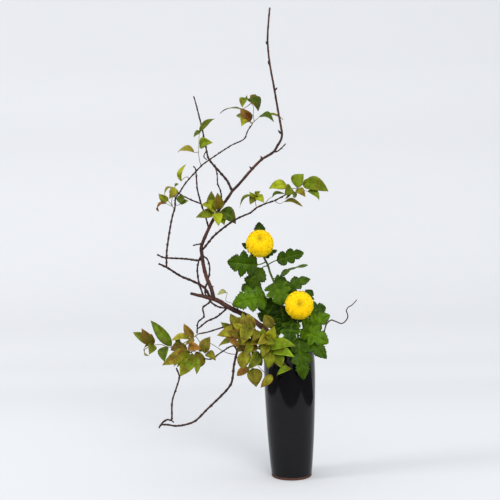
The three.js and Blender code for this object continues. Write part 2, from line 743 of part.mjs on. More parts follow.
const rightLeaves = [
  [287.4, 187.2, -60, 269, 188.6, -52, 20, -25, 0.1, -0.12],
  [291.4, 188.4, -62, 284.4, 195.6, -78, 21, 15, 0.14, -0.12],
  [292.6, 191.6, -65, 294.8, 198, -52, 10, 30, 0.14, 0],
  [291, 190.6, -64, 285, 198.8, -70, 9, 60, 0.05, 0],
  [296.7, 187.4, -62, 303.6, 173.9, -58, 24, 10, 0.12, 0.16],
  [302.8, 184.4, -66, 328.4, 191.2, -72, 27, 15, 0.12, 0.1],
  [297, 189.2, -64, 305.4, 196.8, -80, 15, 20, 0.12, 0],
  [307.4, 191.2, -72, 319.3, 200.4, -76, 15, 40, 0.2, 0.06],
  [303, 184, -64, 309.4, 178.2, -46, 4, 40, 0.1, 0],
];
const rightUpperShoots = [
  { path: [[265, 203.8, -33], [268.7, 199, -36], [272.4, 196.8, -38]], radius: 0.7 },
];
const rightUpperLeaves = [
  [272.2, 197, -38, 284.4, 193.8, -42, 14, 62, 0.16, 0],
];
const rightLowerShoots = [
  { path: [[274.4, 200.7, -42], [279.5, 203.6, -44], [284.8, 201.4, -48]], radius: 0.7 },
];
const rightLowerLeaves = [
  [284.8, 201.4, -48, 302.5, 206.6, -56, 13, 52, 0.14, 0],
];
const smallShoots = [
  { path: [[234, 309, 6], [231.6, 303.2, 2], [226, 301, 0], [227.2, 293.4, -4]], radius: 0.7 },
];
const smallLeaves = [
  [226.8, 292.6, -4, 217.2, 295.2, -14, 11, -40, 0.22, 0],
];
const lowerLeftShoots = [
  { path: [[198.6, 333.8, -40], [193, 337.6, -46], [186, 342, -52], [179, 345.4, -56], [171.4, 347.2, -58],
    [165.4, 346.3, -60], [161.5, 344.6, -60], [154.2, 345, -62]], radius: 1.1 },
  { path: [[189.6, 339.6, -48], [191, 347, -60], [192.2, 355.4, -68]], radius: 0.9 },
  { path: [[195.6, 335.8, -43], [200.6, 343.6, -52], [205.4, 353.6, -62]], radius: 0.9 },
];
const lowerLeftLeaves = [
  [171.4, 346, -58, 150.1, 320.5, -46, 21, 12, 0.1, -0.04],
  [153.2, 344.8, -62, 141.6, 328.6, -74, 20, 10, 0.12, 0],
  [152.6, 344.2, -61, 133.2, 332.4, -48, 17, 10, 0.12, -0.06],
  [153.6, 344, -61, 151.4, 333.6, -40, 8, 20, 0.1, 0],
  [152, 345, -63, 149.3, 354.4, -84, 17, 15, 0.16, 0],
  [152.2, 345.6, -62, 144.2, 352, -54, 9, -70, 0.3, 0],
  [144.6, 351, -54, 149.4, 355.8, -60, 7, -60, 0.2, 0],
  [166.4, 346.6, -60, 164.6, 361.8, -72, 19, -12, 0.14, -0.14],
  [189.6, 352.4, -64, 162.3, 364.9, -88, 27, -12, 0.12, 0.02],
  [186.6, 348, -58, 170.4, 350.4, -38, 19, -15, 0.12, -0.1],
  [190.4, 354.4, -68, 180.4, 376.4, -86, 28, 10, 0.14, 0],
  [192, 355.6, -68, 196.6, 374.2, -78, 17, 30, 0.14, 0.06],
  [200, 352.6, -62, 197.5, 369, -50, 17, 15, 0.14, 0.06],
  [185, 352, -66, 173.6, 366.8, -100, 11, 0, 0.1, 0],
  [193.6, 336.4, -45, 183.8, 323.7, -40, 15, 10, 0.1, 0.06],
  [189.4, 338, -47, 171.2, 339.9, -66, 15, -35, 0.16, 0],
  [193.4, 337.6, -47, 185.4, 344.8, -74, 11, 10, 0.1, 0],
  [188.4, 346.6, -58, 201.8, 348.8, -78, 17, 10, 0.12, 0],
  [204.6, 353.2, -62, 210.2, 336.4, -52, 21, 14, 0.14, 0.08],
  [206, 354, -62, 215.8, 360.4, -74, 16, 20, 0.22, 0.06],
  [180.4, 345.2, -56, 176.6, 334.6, -40, 10, 20, 0.12, 0],
];
const frontShoots = [
  { path: [[262, 335.5, -42], [258, 338, -56], [255, 343.5, -66], [256.4, 350, -70], [254.6, 362, -72],
    [252.6, 369.4, -72]], radius: 1.1 },
  { path: [[258, 338, -56], [265, 340.6, -66], [271.4, 347, -74]], radius: 1 },
  { path: [[255, 343.5, -66], [249.6, 341, -68], [243.4, 333, -70], [239.6, 327.6, -68]], radius: 0.9 },
  { path: [[271.4, 347, -74], [279, 358, -80], [290, 368.6, -78]], radius: 0.7 },
  { path: [[254.6, 362, -72], [264, 372, -70], [271.8, 375.6, -70]], radius: 0.7 },
];
const frontLeaves = [
  [236.6, 327, -66, 220.5, 322, -54, 18, 45, 0.12, 0],
  [240.6, 328.6, -69, 216.8, 335.4, -82, 22, -15, 0.12, 0.05],
  [242.4, 331, -70, 230.4, 313.6, -56, 20, 15, 0.12, 0],
  [246, 336, -69, 242.8, 312.2, -52, 18, 10, 0.1, 0],
  [249.6, 341, -68, 235.8, 344.4, -92, 24, -10, 0.14, -0.1],
  [243, 334, -70, 227.2, 330.6, -94, 18, -10, 0.12, 0.1],
  [242, 337, -72, 218.4, 346.2, -62, 15, -35, 0.14, 0],
  [248, 340, -68, 236.6, 352, -58, 16, 15, 0.12, 0],
  [262.6, 339.4, -64, 263, 327.6, -78, 20, 0, 0.12, 0],
  [269.6, 340.4, -66, 274.6, 326.2, -80, 21, 5, 0.12, 0],
  [258.4, 339, -57, 248.8, 345.4, -88, 16, 0, 0.12, 0],
  [268.4, 348, -72, 296, 345.8, -84, 22, 25, 0.12, 0.06],
  [271.8, 350.6, -75, 294.4, 356.8, -96, 21, 20, 0.14, 0.04],
  [274.8, 353, -77, 281.4, 368, -86, 22, 5, 0.12, 0.05],
  [270.8, 352.4, -74, 268.3, 369, -80, 22, -5, 0.12, 0],
  [291.4, 368.7, -78, 276.8, 375.6, -82, 15, -40, 0.2, 0],
  [272.2, 375.2, -70, 260.5, 387.6, -78, 16, -10, 0.12, 0.04],
  [253.4, 368.4, -72, 256.2, 387, -84, 28, 5, 0.12, 0],
  [249.4, 368, -71, 236.6, 375.8, -60, 15, -15, 0.14, 0],
  [248.6, 350.4, -69, 241.8, 369.4, -60, 24, -10, 0.14, -0.04],
  [258.6, 352, -71, 247.4, 369.4, -92, 20, 5, 0.12, 0.06],
  [256.6, 344.4, -67, 245.2, 353.4, -80, 18, -5, 0.12, 0],
  [266.6, 343.6, -68, 262, 358, -88, 19, 0, 0.12, 0],
  [257, 337, -56, 250.4, 325.6, -70, 16, 10, 0.12, 0],
];

// A spray's first shoot starts inside the wood, so its first depth is that of the wood there.
const woodLines = mainLines.concat(twigLines, droopLines);

function shootPaths(shoots) {
  return shoots.map((shoot, k) =>
    shoot.path.map(([x, y, depth], i) => {
      const onWood = k === 0 && i === 0;
      return seen(x, y, onWood ? depthBeside(woodLines, x, y) : depth);
    })
  );
}

function leafySpray(shoots, rows, cutters) {
  let solid = spray(shootPaths(shoots), shoots.map((shoot) => shoot.radius), rows, cutters);
  for (const cutter of cutters) {
    solid = solid.subtract(cutter);
  }
  return largest(solid);
}

// The chrysanthemums. Each leaf row has the same columns as above.
const tallBloom = { x: 259.9, y: 243.7, depth: -6, tilt: 24 };
const shortBloom = { x: 299.2, y: 305.2, depth: -38, tilt: 10 };
const tallStem = [
  [260.4, 248.6, 19], [262.2, 253.2, 20], [264.4, 258.4, 17], [267.9, 265.4, 14], [270, 272.5, 12],
  [273.5, 281, 9], [278, 294, 4], [283, 312, -3], [288, 333, -8],
];
const tallStemInVase = [
  new THREE.Vector3(8.7, -10, 258),
  new THREE.Vector3(14, -12, 180),
  new THREE.Vector3(22, -14, floorThickness + clearance + 0.6),
];
const shortStem = [[299.2, 307.2, -13], [298.8, 312, -10], [298.4, 322, -6], [298, 336, -3]];
const shortStemInVase = [
  new THREE.Vector3(26.5, 2, 262),
  new THREE.Vector3(29, 2, 180),
  new THREE.Vector3(32, 2, floorThickness + clearance + 0.6),
];
const tallLeaves = [
  [262, 252, 28, 258.9, 221.8, 40, 40, 0, 0.1, 0],
  [261.4, 252.6, 31, 241.6, 243.4, 32, 22, 10, 0.1, 0],
  [264.8, 257.4, 26, 277, 250, 26, 18, 30, 0.1, 0],
  [257.6, 264.6, 6, 227.2, 261.6, -6, 58, 8, 0.1, 0],
  [262.4, 267.6, 12, 241.6, 291.6, 34, 44, 15, 0.12, 0.05],
  [276.2, 260.4, 12, 304, 252.6, 24, 36, -12, 0.08, 0.03],
  [280.4, 276.4, 20, 307.4, 264.4, 32, 30, 74, 0.06, 0],
  [273.6, 282.8, 6, 283.4, 305, -20, 58, 10, 0.12, 0],
  [281, 290.6, 14, 310.6, 278.4, 30, 32, 18, 0.1, 0],
  [266.6, 299, 4, 232.6, 304.2, -20, 60, -14, 0.12, -0.04],
  [276.4, 299, 10, 260.6, 322, 26, 56, 10, 0.12, 0],
  [280.6, 305, 8, 284, 330, 30, 56, -10, 0.12, 0],
  [274.4, 281, 8, 286.8, 281.2, 22, 30, 12, 0.12, 0],
];
const shortLeaves = [
  [303, 303, 4, 312, 289.6, 10, 34, 10, 0.1, 0],
  [305.6, 314, 0, 326, 307, 14, 40, 10, 0.1, 0],
  [303, 329, -6, 330, 315, -20, 48, 15, 0.12, 0],
  [301, 330, -8, 328.6, 342.4, -34, 54, 10, 0.14, 0],
  [301, 336, -14, 326.6, 358.6, -52, 44, 18, 0.14, 0],
  [298.4, 340, -52, 303.8, 379.6, -74, 44, 4, 0.14, 0],
  [292.4, 322, -20, 289.4, 345, -52, 46, -10, 0.12, 0],
  [297.4, 338, -12, 296, 352, -62, 42, 0, 0.12, 0],
];

function bloomCentre(bloom) {
  return seen(bloom.x, bloom.y, bloom.depth);
}

function bloomAxis(bloom) {
  const tilt = THREE.MathUtils.degToRad(bloom.tilt);
  return new THREE.Vector3(0, -Math.cos(tilt), Math.sin(tilt));
}

// The green cup under a bloom: places and radii in parts of the bloom's radius.
const neckPlace = 0.72;
const cupMiddlePlace = 0.9;
const cupFootPlace = 1.08;
const cupMiddleShare = 0.3;
const cupRimShare = 0.42;

function mumStem(stem, inVase, bloom, leaves, grow, obstacles) {
  const path = placed(stem);
  const centre = bloomCentre(bloom);
  const axis = bloomAxis(bloom);
  const neck = centre.clone().addScaledVector(axis, -bloomRadius * neckPlace);
  const cupFoot = centre.clone().addScaledVector(axis, -bloomRadius * cupFootPlace);
  const whole = longer([cupFoot].concat(path.slice(1), inVase), grow);
  const cupMiddle = centre.clone().addScaledVector(axis, -bloomRadius * cupMiddlePlace);
  const cup = longer([cupFoot, cupMiddle, neck], grow);
  const cupRadii = [mumStemRadius, bloomRadius * cupMiddleShare, bloomRadius * cupRimShare];
  const solids = [
    twig(whole, whole.map(() => mumStemRadius + grow), 6),
    twig(cup, cupRadii.map((r) => r + grow), 8),
  ];
  return joined(solids.concat(leavesClear([path.slice(1)], leaves, lobedLeaf, obstacles)));
}

// A pompon bloom: petals in a golden-angle spiral over a smaller core, their tips bent to the middle.
const goldenAngle = Math.PI * (3 - Math.sqrt(5));
const bloomCover = THREE.MathUtils.degToRad(150);
const coreShare = 0.96;
const petalHalfWidth = 6.2;
const heartPetalShare = 0.55;
const heartAngle = 0.9;
const dimpleDepth = 0.13;
const dimpleAngle = 0.38;
const reachLeast = 0.985;
const reachSpread = 0.03;
// A petal's rim, from its root round its tip: angle away from the bloom's heart, reach and width in parts.
const petalRim = [
  [0.28, 0.78, 0],
  [-0.04, 0.97, 1],
  [-0.25, 1, 0.25],
  [-0.25, 1, -0.25],
  [-0.04, 0.97, -1],
];
const petalScoop = [-0.04, 0.92];
const petalRoot = [0.1, 0.66];

function petal(centre, axis, side, up, index) {
  const share = (index + 0.5) / bloomPetals;
  const polar = Math.acos(1 - share * (1 - Math.cos(bloomCover)));
  const turn = index * goldenAngle;
  const around = side.clone().multiplyScalar(Math.cos(turn)).addScaledVector(up, Math.sin(turn));
  const onSphere = (angle, radius) =>
    centre
      .clone()
      .addScaledVector(axis, Math.cos(angle) * radius)
      .addScaledVector(around, Math.sin(angle) * radius);
  const across = axis.clone().cross(around);
  const grown = heartPetalShare + (1 - heartPetalShare) * Math.min(polar / heartAngle, 1);
  const dimple = 1 - dimpleDepth * Math.exp(-((polar / dimpleAngle) ** 2));
  const reach = bloomRadius * dimple * (reachLeast + reachSpread * noise(index, 1));
  const point = ([angle, share, width = 0]) =>
    onSphere(polar + angle * grown, reach * share).addScaledVector(across, width * petalHalfWidth * grown);
  const rim = petalRim.map(point);
  const faces = [];
  for (let i = 0; i < rim.length; i += 1) {
    const next = (i + 1) % rim.length;
    faces.push([i, next, rim.length], [next, i, rim.length + 1]);
  }
  return solidOf([...rim, point(petalScoop), point(petalRoot)], faces);
}

function pompon(bloom) {
  const centre = bloomCentre(bloom);
  const axis = bloomAxis(bloom);
  const side = new THREE.Vector3(1, 0, 0);
  const up = axis.clone().cross(side).normalize();
  const core = new THREE.IcosahedronGeometry(bloomRadius * coreShare, 0);
  core.translate(centre.x, centre.y, centre.z);
  const solids = [solidFromGeometry(core)];
  for (let i = 0; i < bloomPetals; i += 1) {
    solids.push(petal(centre, axis, side, up, i));
  }
  return joined(solids);
}

// Put together: each soft piece is cut back from the wood and stems it grows on.
const mainSolid = mainBranch(0);
const droopSolid = droopingBranch(0);
const tendrilSolid = tendrilTwig(0);
const mainCut = mainBranch(clearance);
const droopCut = droopingBranch(clearance);
const tendrilCut = tendrilTwig(clearance);
const tallCut = mumStem(tallStem, tallStemInVase, tallBloom, [], clearance, []);
const shortCut = mumStem(shortStem, shortStemInVase, shortBloom, [], clearance, []);
const tallBloomSolid = largest(pompon(tallBloom).subtract(tallCut));
const shortBloomSolid = largest(pompon(shortBloom).subtract(shortCut));
const tallSolid = mumStem(tallStem, tallStemInVase, tallBloom, tallLeaves, 0, [mainCut, tallBloomSolid]);
const shortObstacles = [vaseSolid, mainCut, tallSolid, shortBloomSolid];
const shortSolid = mumStem(shortStem, shortStemInVase, shortBloom, shortLeaves, 0, shortObstacles);
const wood = [mainCut, droopCut];

const waterProfile = [
  [floorRadius - clearance, floorThickness + clearance],
  [bodyRadius - wallThickness - clearance - waterSlack, bodyHeight],
  [insideRadius(waterLevel) - clearance - waterSlack, waterLevel],
];
let waterSolid = turned(waterProfile);
for (const cutter of [mainCut, droopCut, tendrilCut, tallCut, shortCut]) {
  waterSolid = waterSolid.subtract(cutter);
}

// Each piece: name, solid, colour, roughness.
const barkRoughness = 0.65;
const leafRoughness = 0.55;
const pieces = [
  ["vase", vaseSolid, 0x121214, 0.12],
  ["water", largest(waterSolid), 0x9fb8b4, 0.1],
  ["crossbar_lower", crossbar(lowerCrossbarHeight, lowerCrossbarX, false), 0x6b4a32, 0.7],
  ["crossbar_upper", crossbar(upperCrossbarHeight, upperCrossbarY, true), 0x6b4a32, 0.7],
  ["main_branch", largest(mainSolid), 0x54332b, barkRoughness],
  ["drooping_branch", largest(droopSolid), 0x4b3531, barkRoughness],
  ["tendril_twig", tendrilSolid, 0x4a302c, barkRoughness],
  ["spray_top", leafySpray(topShoots, topLeaves, wood), 0x7c8a2a, leafRoughness],
  ["spray_upper_left", leafySpray(upperLeftShoots, upperLeftLeaves, wood), 0x7f9434, leafRoughness],
  ["leaf_curled", leafySpray(curledShoots, curledLeaves, wood), 0x8a9440, leafRoughness],
  ["spray_left", leafySpray(leftShoots, leftLeaves, wood), 0x7d7a2c, leafRoughness],
  ["spray_left_inner", leafySpray(leftInnerShoots, leftInnerLeaves, wood), 0x5c6a24, leafRoughness],
  ["spray_centre", leafySpray(centreShoots, centreLeaves, wood), 0x76851f, leafRoughness],
  ["spray_right_inner", leafySpray(rightInnerShoots, rightInnerLeaves, wood), 0x76851f, leafRoughness],
  ["spray_right", leafySpray(rightShoots, rightLeaves, wood), 0x6e8a1e, leafRoughness],
  ["leaf_right_upper", leafySpray(rightUpperShoots, rightUpperLeaves, wood), 0x55702c, leafRoughness],
  ["leaf_right_lower", leafySpray(rightLowerShoots, rightLowerLeaves, wood), 0x59581f, leafRoughness],
  ["leaf_small", leafySpray(smallShoots, smallLeaves, wood), 0x8d8f4c, leafRoughness],
  ["spray_lower_left", leafySpray(lowerLeftShoots, lowerLeftLeaves, wood), 0x6a7a20, leafRoughness],
  ["spray_front", leafySpray(frontShoots, frontLeaves, wood), 0x7d8a22, leafRoughness],
  ["mum_tall", largest(tallSolid.subtract(mainCut)), 0x356b12, leafRoughness],
  ["mum_tall_bloom", tallBloomSolid, 0xffd200, 0.6],
  ["mum_short", largest(shortSolid), 0x3c7414, leafRoughness],
  ["mum_short_bloom", shortBloomSolid, 0xffd200, 0.6],
];

const arrangement = new THREE.Group();
arrangement.name = "ikebana_arrangement";
for (const [name, solid, colour, roughness] of pieces) {
  const { vertProperties, triVerts } = solid.getMesh();
  const geometry = new THREE.BufferGeometry();
  geometry.setAttribute("position", new THREE.BufferAttribute(new Float32Array(vertProperties), 3));
  geometry.setIndex(new THREE.BufferAttribute(new Uint32Array(triVerts), 1));
  geometry.computeVertexNormals();
  const material = new THREE.MeshStandardMaterial({ color: colour, roughness, metalness: 0 });
  const mesh = new THREE.Mesh(geometry, material);
  mesh.name = name;
  arrangement.add(mesh);
}

export default arrangement;
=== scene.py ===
import math

import bpy
import numpy as np
from mathutils import Matrix, Vector
from mathutils.bvhtree import BVHTree


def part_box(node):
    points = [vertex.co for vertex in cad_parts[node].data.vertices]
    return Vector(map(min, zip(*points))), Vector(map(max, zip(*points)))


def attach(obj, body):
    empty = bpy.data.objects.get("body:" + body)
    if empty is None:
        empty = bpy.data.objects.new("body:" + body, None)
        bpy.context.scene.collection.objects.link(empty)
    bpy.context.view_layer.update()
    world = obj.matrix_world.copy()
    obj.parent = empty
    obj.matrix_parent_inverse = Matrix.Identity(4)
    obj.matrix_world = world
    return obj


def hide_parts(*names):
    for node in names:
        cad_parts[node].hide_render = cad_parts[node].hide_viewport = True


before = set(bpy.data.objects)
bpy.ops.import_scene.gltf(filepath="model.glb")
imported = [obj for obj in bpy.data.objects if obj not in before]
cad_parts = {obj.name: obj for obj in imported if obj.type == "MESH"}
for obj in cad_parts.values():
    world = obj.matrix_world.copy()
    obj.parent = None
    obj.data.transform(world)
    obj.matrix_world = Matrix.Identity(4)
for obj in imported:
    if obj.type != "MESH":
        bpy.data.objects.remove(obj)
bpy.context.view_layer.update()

# Sizes
MM = 0.001
VASE_HEIGHT = 280.0
FOOT_RADIUS = 43.8
WIDEST_RADIUS = 56.3
LIP_RADIUS = 51.2
MOUTH_RADIUS = 46.0
WALL = 5.0
FLOOR = 9.0
GAP = 0.3
CROSSBAR_RADIUS = 3.5
BLOOM_RADIUS = 30.0
PETIOLE = 0.75
MUM_PETIOLE = 1.3
MUM_STEM = 2.4

# The sight line, the same as the model's
PICTURE = 500
FOCAL = 801.0
SENSOR = 36
EYE = Vector((-81.3, -1762.0, 496.8))
ROLL = 0.021


def seen(px, py, depth):
    """The place at this depth that the camera sees at a picture point."""
    dx = px - PICTURE / 2
    dy = py - PICTURE / 2
    away = depth - EYE.y
    right = (dx * math.cos(ROLL) - dy * math.sin(ROLL)) / FOCAL
    up = (-dx * math.sin(ROLL) - dy * math.cos(ROLL)) / FOCAL
    return Vector((EYE.x + right * away, depth, EYE.z + up * away))


def noise(i, salt):
    """A repeatable number from 0 to 1. The salt keeps the draws for different uses apart."""
    value = math.sin(i * 12.9898 + salt * 78.233) * 43758.5453
    return value - math.floor(value)


def blend(a, b, share):
    share = min(max(share, 0.0), 1.0)
    return tuple(a[i] + (b[i] - a[i]) * share for i in range(3))


def rgb(red, green, blue):
    def linear(c):
        c = c / 255
        return c / 12.92 if c <= 0.04045 else ((c + 0.055) / 1.055) ** 2.4

    return (linear(red), linear(green), linear(blue))


def put(name, data):
    made = bpy.data.objects.new(name, data)
    bpy.context.scene.collection.objects.link(made)
    return made


# Camera at the photograph's angle
camera_data = bpy.data.cameras.new("camera")
camera_data.lens = SENSOR * FOCAL / PICTURE
camera_data.sensor_width = SENSOR
camera_data.clip_start = 0.05
camera = put("camera", camera_data)
right = Vector((math.cos(ROLL), 0, -math.sin(ROLL)))
upward = Vector((math.sin(ROLL), 0, math.cos(ROLL)))
facing = Matrix((right, upward, Vector((0, -1, 0)))).transposed().to_4x4()
camera.matrix_world = Matrix.Translation(EYE * MM) @ facing
bpy.context.scene.camera = camera
bpy.context.scene.view_settings.view_transform = "Standard"


# Meshes
class Shape:
    """Points, faces, tints, surface coordinates and material numbers, gathered before a mesh is made."""

    def __init__(self):
        self.points = []
        self.faces = []
        self.tints = []
        self.places = []
        self.veins = []
        self.materials = []

    def add(self, points, faces, tints, places, veins=None, material=0):
        first = len(self.points)
        self.points.extend(points)
        self.tints.extend(tints)
        self.places.extend(places)
        self.veins.extend(veins if veins else [0.0] * len(points))
        for face in faces:
            self.faces.append(tuple(first + i for i in face))
            self.materials.append(material)

    def piece(self, name, materials, replaced):
        mesh = bpy.data.meshes.new(name)
        mesh.from_pydata([tuple(p * MM) for p in self.points], [], self.faces)
        tint = mesh.color_attributes.new("tint", "FLOAT_COLOR", "POINT")
        tint.data.foreach_set("color", [c for t in self.tints for c in (*t, 1.0)])
        vein = mesh.attributes.new("vein", "FLOAT", "POINT")
        vein.data.foreach_set("value", self.veins)
        layer = mesh.uv_layers.new(name="surface")
        corners = np.zeros(len(mesh.loops), np.int32)
        mesh.loops.foreach_get("vertex_index", corners)
        places = np.array(self.places, np.float32)[corners]
        layer.data.foreach_set("uv", places.ravel())
        mesh.polygons.foreach_set("material_index", self.materials)
        mesh.polygons.foreach_set("use_smooth", [True] * len(mesh.polygons))
        for material in materials:
            mesh.materials.append(material)
        mesh.update()
        made = put(name, mesh)
        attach(made, "root")
        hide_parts(*replaced)


# How tightly a smooth curve follows its points, how far a tube's closed ends bulge as a share of the
# radius, and the surface coordinate for each millimetre along a tube
TENSION = 0.85
END_BULGE = 0.35
RUN_SCALE = 0.02
RIDGES = 5


def smooth_route(points, radii, step):
    """Points and radii every step millimetres or so along a smooth curve through the given points."""
    out_points = []
    out_radii = []
    count = len(points)
    for i in range(count - 1):
        p1 = points[i]
        p2 = points[i + 1]
        p0 = points[i - 1] if i > 0 else p1 + (p1 - p2) * 0.5
        p3 = points[i + 2] if i + 2 < count else p2 + (p2 - p1) * 0.5
        span = (p2 - p1).length
        m1 = (p2 - p0) * (span / max((p2 - p0).length, 1e-6)) * TENSION
        m2 = (p3 - p1) * (span / max((p3 - p1).length, 1e-6)) * TENSION
        pieces = max(1, int(round(span / step)))
        for k in range(pieces):
            t = k / pieces
            a = 2 * t**3 - 3 * t**2 + 1
            b = t**3 - 2 * t**2 + t
            c = -2 * t**3 + 3 * t**2
            d = t**3 - t**2
            out_points.append(p1 * a + m1 * b + p2 * c + m2 * d)
            out_radii.append(radii[i] + (radii[i + 1] - radii[i]) * t)
    out_points.append(points[-1])
    out_radii.append(radii[-1])
    return out_points, out_radii


def bands(rings, sides):
    """Four-sided faces between closed rings of points."""
    faces = []
    for i in range(rings - 1):
        for k in range(sides):
            a = i * sides + k
            b = i * sides + (k + 1) % sides
            faces.append((a, b, b + sides, a + sides))
    return faces


def tube(shape, points, radii, sides, tints, material=0, rough=0.0, seed=0, ridges=0.0):
    """A closed round tube. tints holds one colour for each point, and rough shakes its surface.

    ridges is the height of five ridges along it, as a share of the radius.
    """
    count = len(points)
    across = Vector((0.0, 1.0, 0.2))
    made = []
    places = []
    colours = []
    run = 0.0
    for i in range(count):
        along = (points[min(i + 1, count - 1)] - points[max(i - 1, 0)]).normalized()
        across = (across - along * across.dot(along)).normalized()
        beside = along.cross(across)
        if i > 0:
            run += (points[i] - points[i - 1]).length
        for k in range(sides):
            angle = 2 * math.pi * k / sides
            shake = 1 + rough * (noise(i * 3 + k * 7, seed) - 0.5) * 2
            shake *= 1 + ridges * math.cos(angle * RIDGES)
            reach = radii[i] * shake
            made.append(points[i] + across * (math.cos(angle) * reach) + beside * (math.sin(angle) * reach))
            places.append((k / sides, run * RUN_SCALE))
            colours.append(tints[i])
    faces = bands(count, sides)
    for end, inward, turn in ((0, 1, -1), (count - 1, count - 2, 1)):
        centre = len(made)
        along = (points[end] - points[inward]) * turn
        bulge = END_BULGE * radii[end] * turn
        made.append(points[end] + along.normalized() * bulge)
        places.append((0.5, run * RUN_SCALE * (end > 0)))
        colours.append(tints[end])
        for k in range(sides):
            a = end * sides + k
            b = end * sides + (k + 1) % sides
            faces.append((a, b, centre) if end > 0 else (b, a, centre))
    shape.add(made, faces, colours, places, material=material)


def rod(shape, points, radii, step, sides, tint, **more):
    """A smooth tube of one colour."""
    path, sizes = smooth_route(points, radii, step)
    tube(shape, path, sizes, sides, [tint] * len(path), **more)


# Materials
class Look:
    """A material with a Principled shader, and short ways to add its nodes."""

    def __init__(self, name):
        self.material = bpy.data.materials.new(name)
        self.material.use_nodes = True
        self.nodes = self.material.node_tree.nodes
        self.shader = self.nodes["Principled BSDF"]

    def fill(self, socket, value):
        if isinstance(value, bpy.types.NodeSocket):
            self.material.node_tree.links.new(value, socket)
        elif socket.type == "RGBA":
            socket.default_value = (*value, 1.0)
        else:
            socket.default_value = value

    def add(self, kind, values, output=0, **settings):
        """A new node with its settings, and values for its sockets by name or number."""
        node = self.nodes.new("ShaderNode" + kind)
        for key, setting in settings.items():
            setattr(node, key, setting)
        for socket, value in values.items():
            self.fill(node.inputs[socket], value)
        return node.outputs[output]

    def tint(self):
        return self.add("Attribute", {}, "Color", attribute_name="tint")

    def coordinate(self, kind, axis):
        return self.add("SeparateXYZ", {0: self.add("TexCoord", {}, kind)}, axis)

    def math(self, kind, *values):
        return self.add("Math", dict(enumerate(values)), operation=kind)

    def mix(self, kind, factor, a, b):
        return self.add("Mix", {0: factor, 6: a, 7: b}, 2, data_type="RGBA", blend_type=kind)

    def speckle(self, scale, detail, stretch=None):
        """Noise in the object's space, or stretched over the surface."""
        place = self.add("TexCoord", {}, "UV" if stretch else "Object")
        if stretch:
            place = self.add("Mapping", {"Vector": place, "Scale": stretch})
        return self.add("TexNoise", {"Vector": place, "Scale": scale, "Detail": detail}, "Fac")

    def spread(self, value, low, high, to_low, to_high):
        return self.add("MapRange", dict(enumerate((value, low, high, to_low, to_high))))

    def bump(self, height, strength, distance):
        values = {"Height": height, "Strength": strength, "Distance": distance}
        self.set({"Normal": self.add("Bump", values)})

    def set(self, values):
        for socket, value in values.items():
            self.fill(self.shader.inputs[socket], value)


# Side veins: how fast they follow one another along a leaf, and how they slope
SIDE_VEINS = 46.0
VEIN_SLOPE = 2.6


def leaf_look(name, vein_tint, vein_mix, roughness, blotch=None):
    """A leaf's material: tinted by the mesh, mottled, with raised veins. Blotched leaves have side veins."""
    look = Look(name)
    tint = look.tint()
    lines = look.add("Attribute", {}, "Fac", attribute_name="vein")
    if blotch:
        stain = look.spread(look.speckle(70, 3), 0.5, 0.68, 0.0, 0.55)
        tint = look.mix("MIX", stain, tint, blotch)
        aside = look.math("ABSOLUTE", look.math("SUBTRACT", look.coordinate("UV", 0), 0.5))
        slope = look.math("MULTIPLY", aside, VEIN_SLOPE)
        phase = look.math("MULTIPLY", look.coordinate("UV", 1), SIDE_VEINS)
        wave = look.math("SINE", look.math("SUBTRACT", phase, slope))
        thin = look.math("POWER", look.math("MAXIMUM", wave, 0.0), 9.0)
        lines = look.math("MAXIMUM", look.math("MULTIPLY", thin, 0.45), lines)
    mottle = look.speckle(420, 4)
    veined = look.mix("MIX", look.math("MULTIPLY", lines, vein_mix), tint, vein_tint)
    shade = look.spread(look.speckle(95, 2), 0.3, 0.7, 0.66, 1.22)
    grain = look.spread(mottle, 0.3, 0.7, 0.9, 1.1)
    tone = look.math("MULTIPLY", shade, grain)
    grey = look.add("CombineColor", {0: tone, 1: tone, 2: tone})
    look.set({
        "Base Color": look.mix("MULTIPLY", 1.0, veined, grey),
        "Roughness": look.spread(mottle, 0.3, 0.7, *roughness),
        "Specular IOR Level": 0.08,
    })
    look.bump(look.math("ADD", look.math("MULTIPLY", mottle, 0.35), lines), 0.35, 0.0005)
    return look.material


def striped_look(name, stripes, band, share, stripe_tint, bump, finish):
    """A material tinted by the mesh, with fine darker stripes along it, that also stand up."""
    look = Look(name)
    streak = look.speckle(*stripes)
    striped = look.mix("MULTIPLY", look.spread(streak, *band, 0.0, share), look.tint(), stripe_tint)
    look.set({"Base Color": striped, **finish})
    look.bump(streak, *bump)
    return look.material


shrub_leaf = leaf_look("shrub_leaf", rgb(152, 156, 44), 0.36, (0.42, 0.6), rgb(94, 72, 18))
mum_leaf = leaf_look("mum_leaf", rgb(96, 128, 28), 0.5, (0.4, 0.55))
STEM_FINISH = {"Roughness": 0.55, "Specular IOR Level": 0.12}
PETAL_FINISH = {
    "Roughness": 0.62,
    "Specular IOR Level": 0.1,
    "Subsurface Weight": 0.25,
    "Subsurface Radius": (1.0, 0.95, 0.25),
    "Subsurface Scale": 0.004,
}
green_stem = striped_look("green_stem", (9, 3, (7.0, 0.6, 1.0)), (0.35, 0.65), 0.6, rgb(140, 130, 110),
                          (0.3, 0.0004), STEM_FINISH)
petal = striped_look("petal", (5, 3, (9.0, 1.0, 1.0)), (0.3, 0.7), 0.12, rgb(250, 230, 150),
                     (0.25, 0.0003), PETAL_FINISH)

look = Look("bark")
bark = look.material
streak = look.speckle(6, 4, (5.0, 1.2, 1.0))
speck = look.speckle(900, 2)
darker = look.mix("MULTIPLY", look.spread(streak, 0.35, 0.65, 0.0, 0.75), look.tint(), rgb(128, 100, 96))
pale = look.mix("MIX", look.spread(speck, 0.6, 0.72, 0.0, 0.25), darker, rgb(140, 92, 76))
look.set({"Base Color": pale, "Roughness": 0.6, "Specular IOR Level": 0.2})
look.bump(look.math("ADD", streak, speck), 0.5, 0.0006)

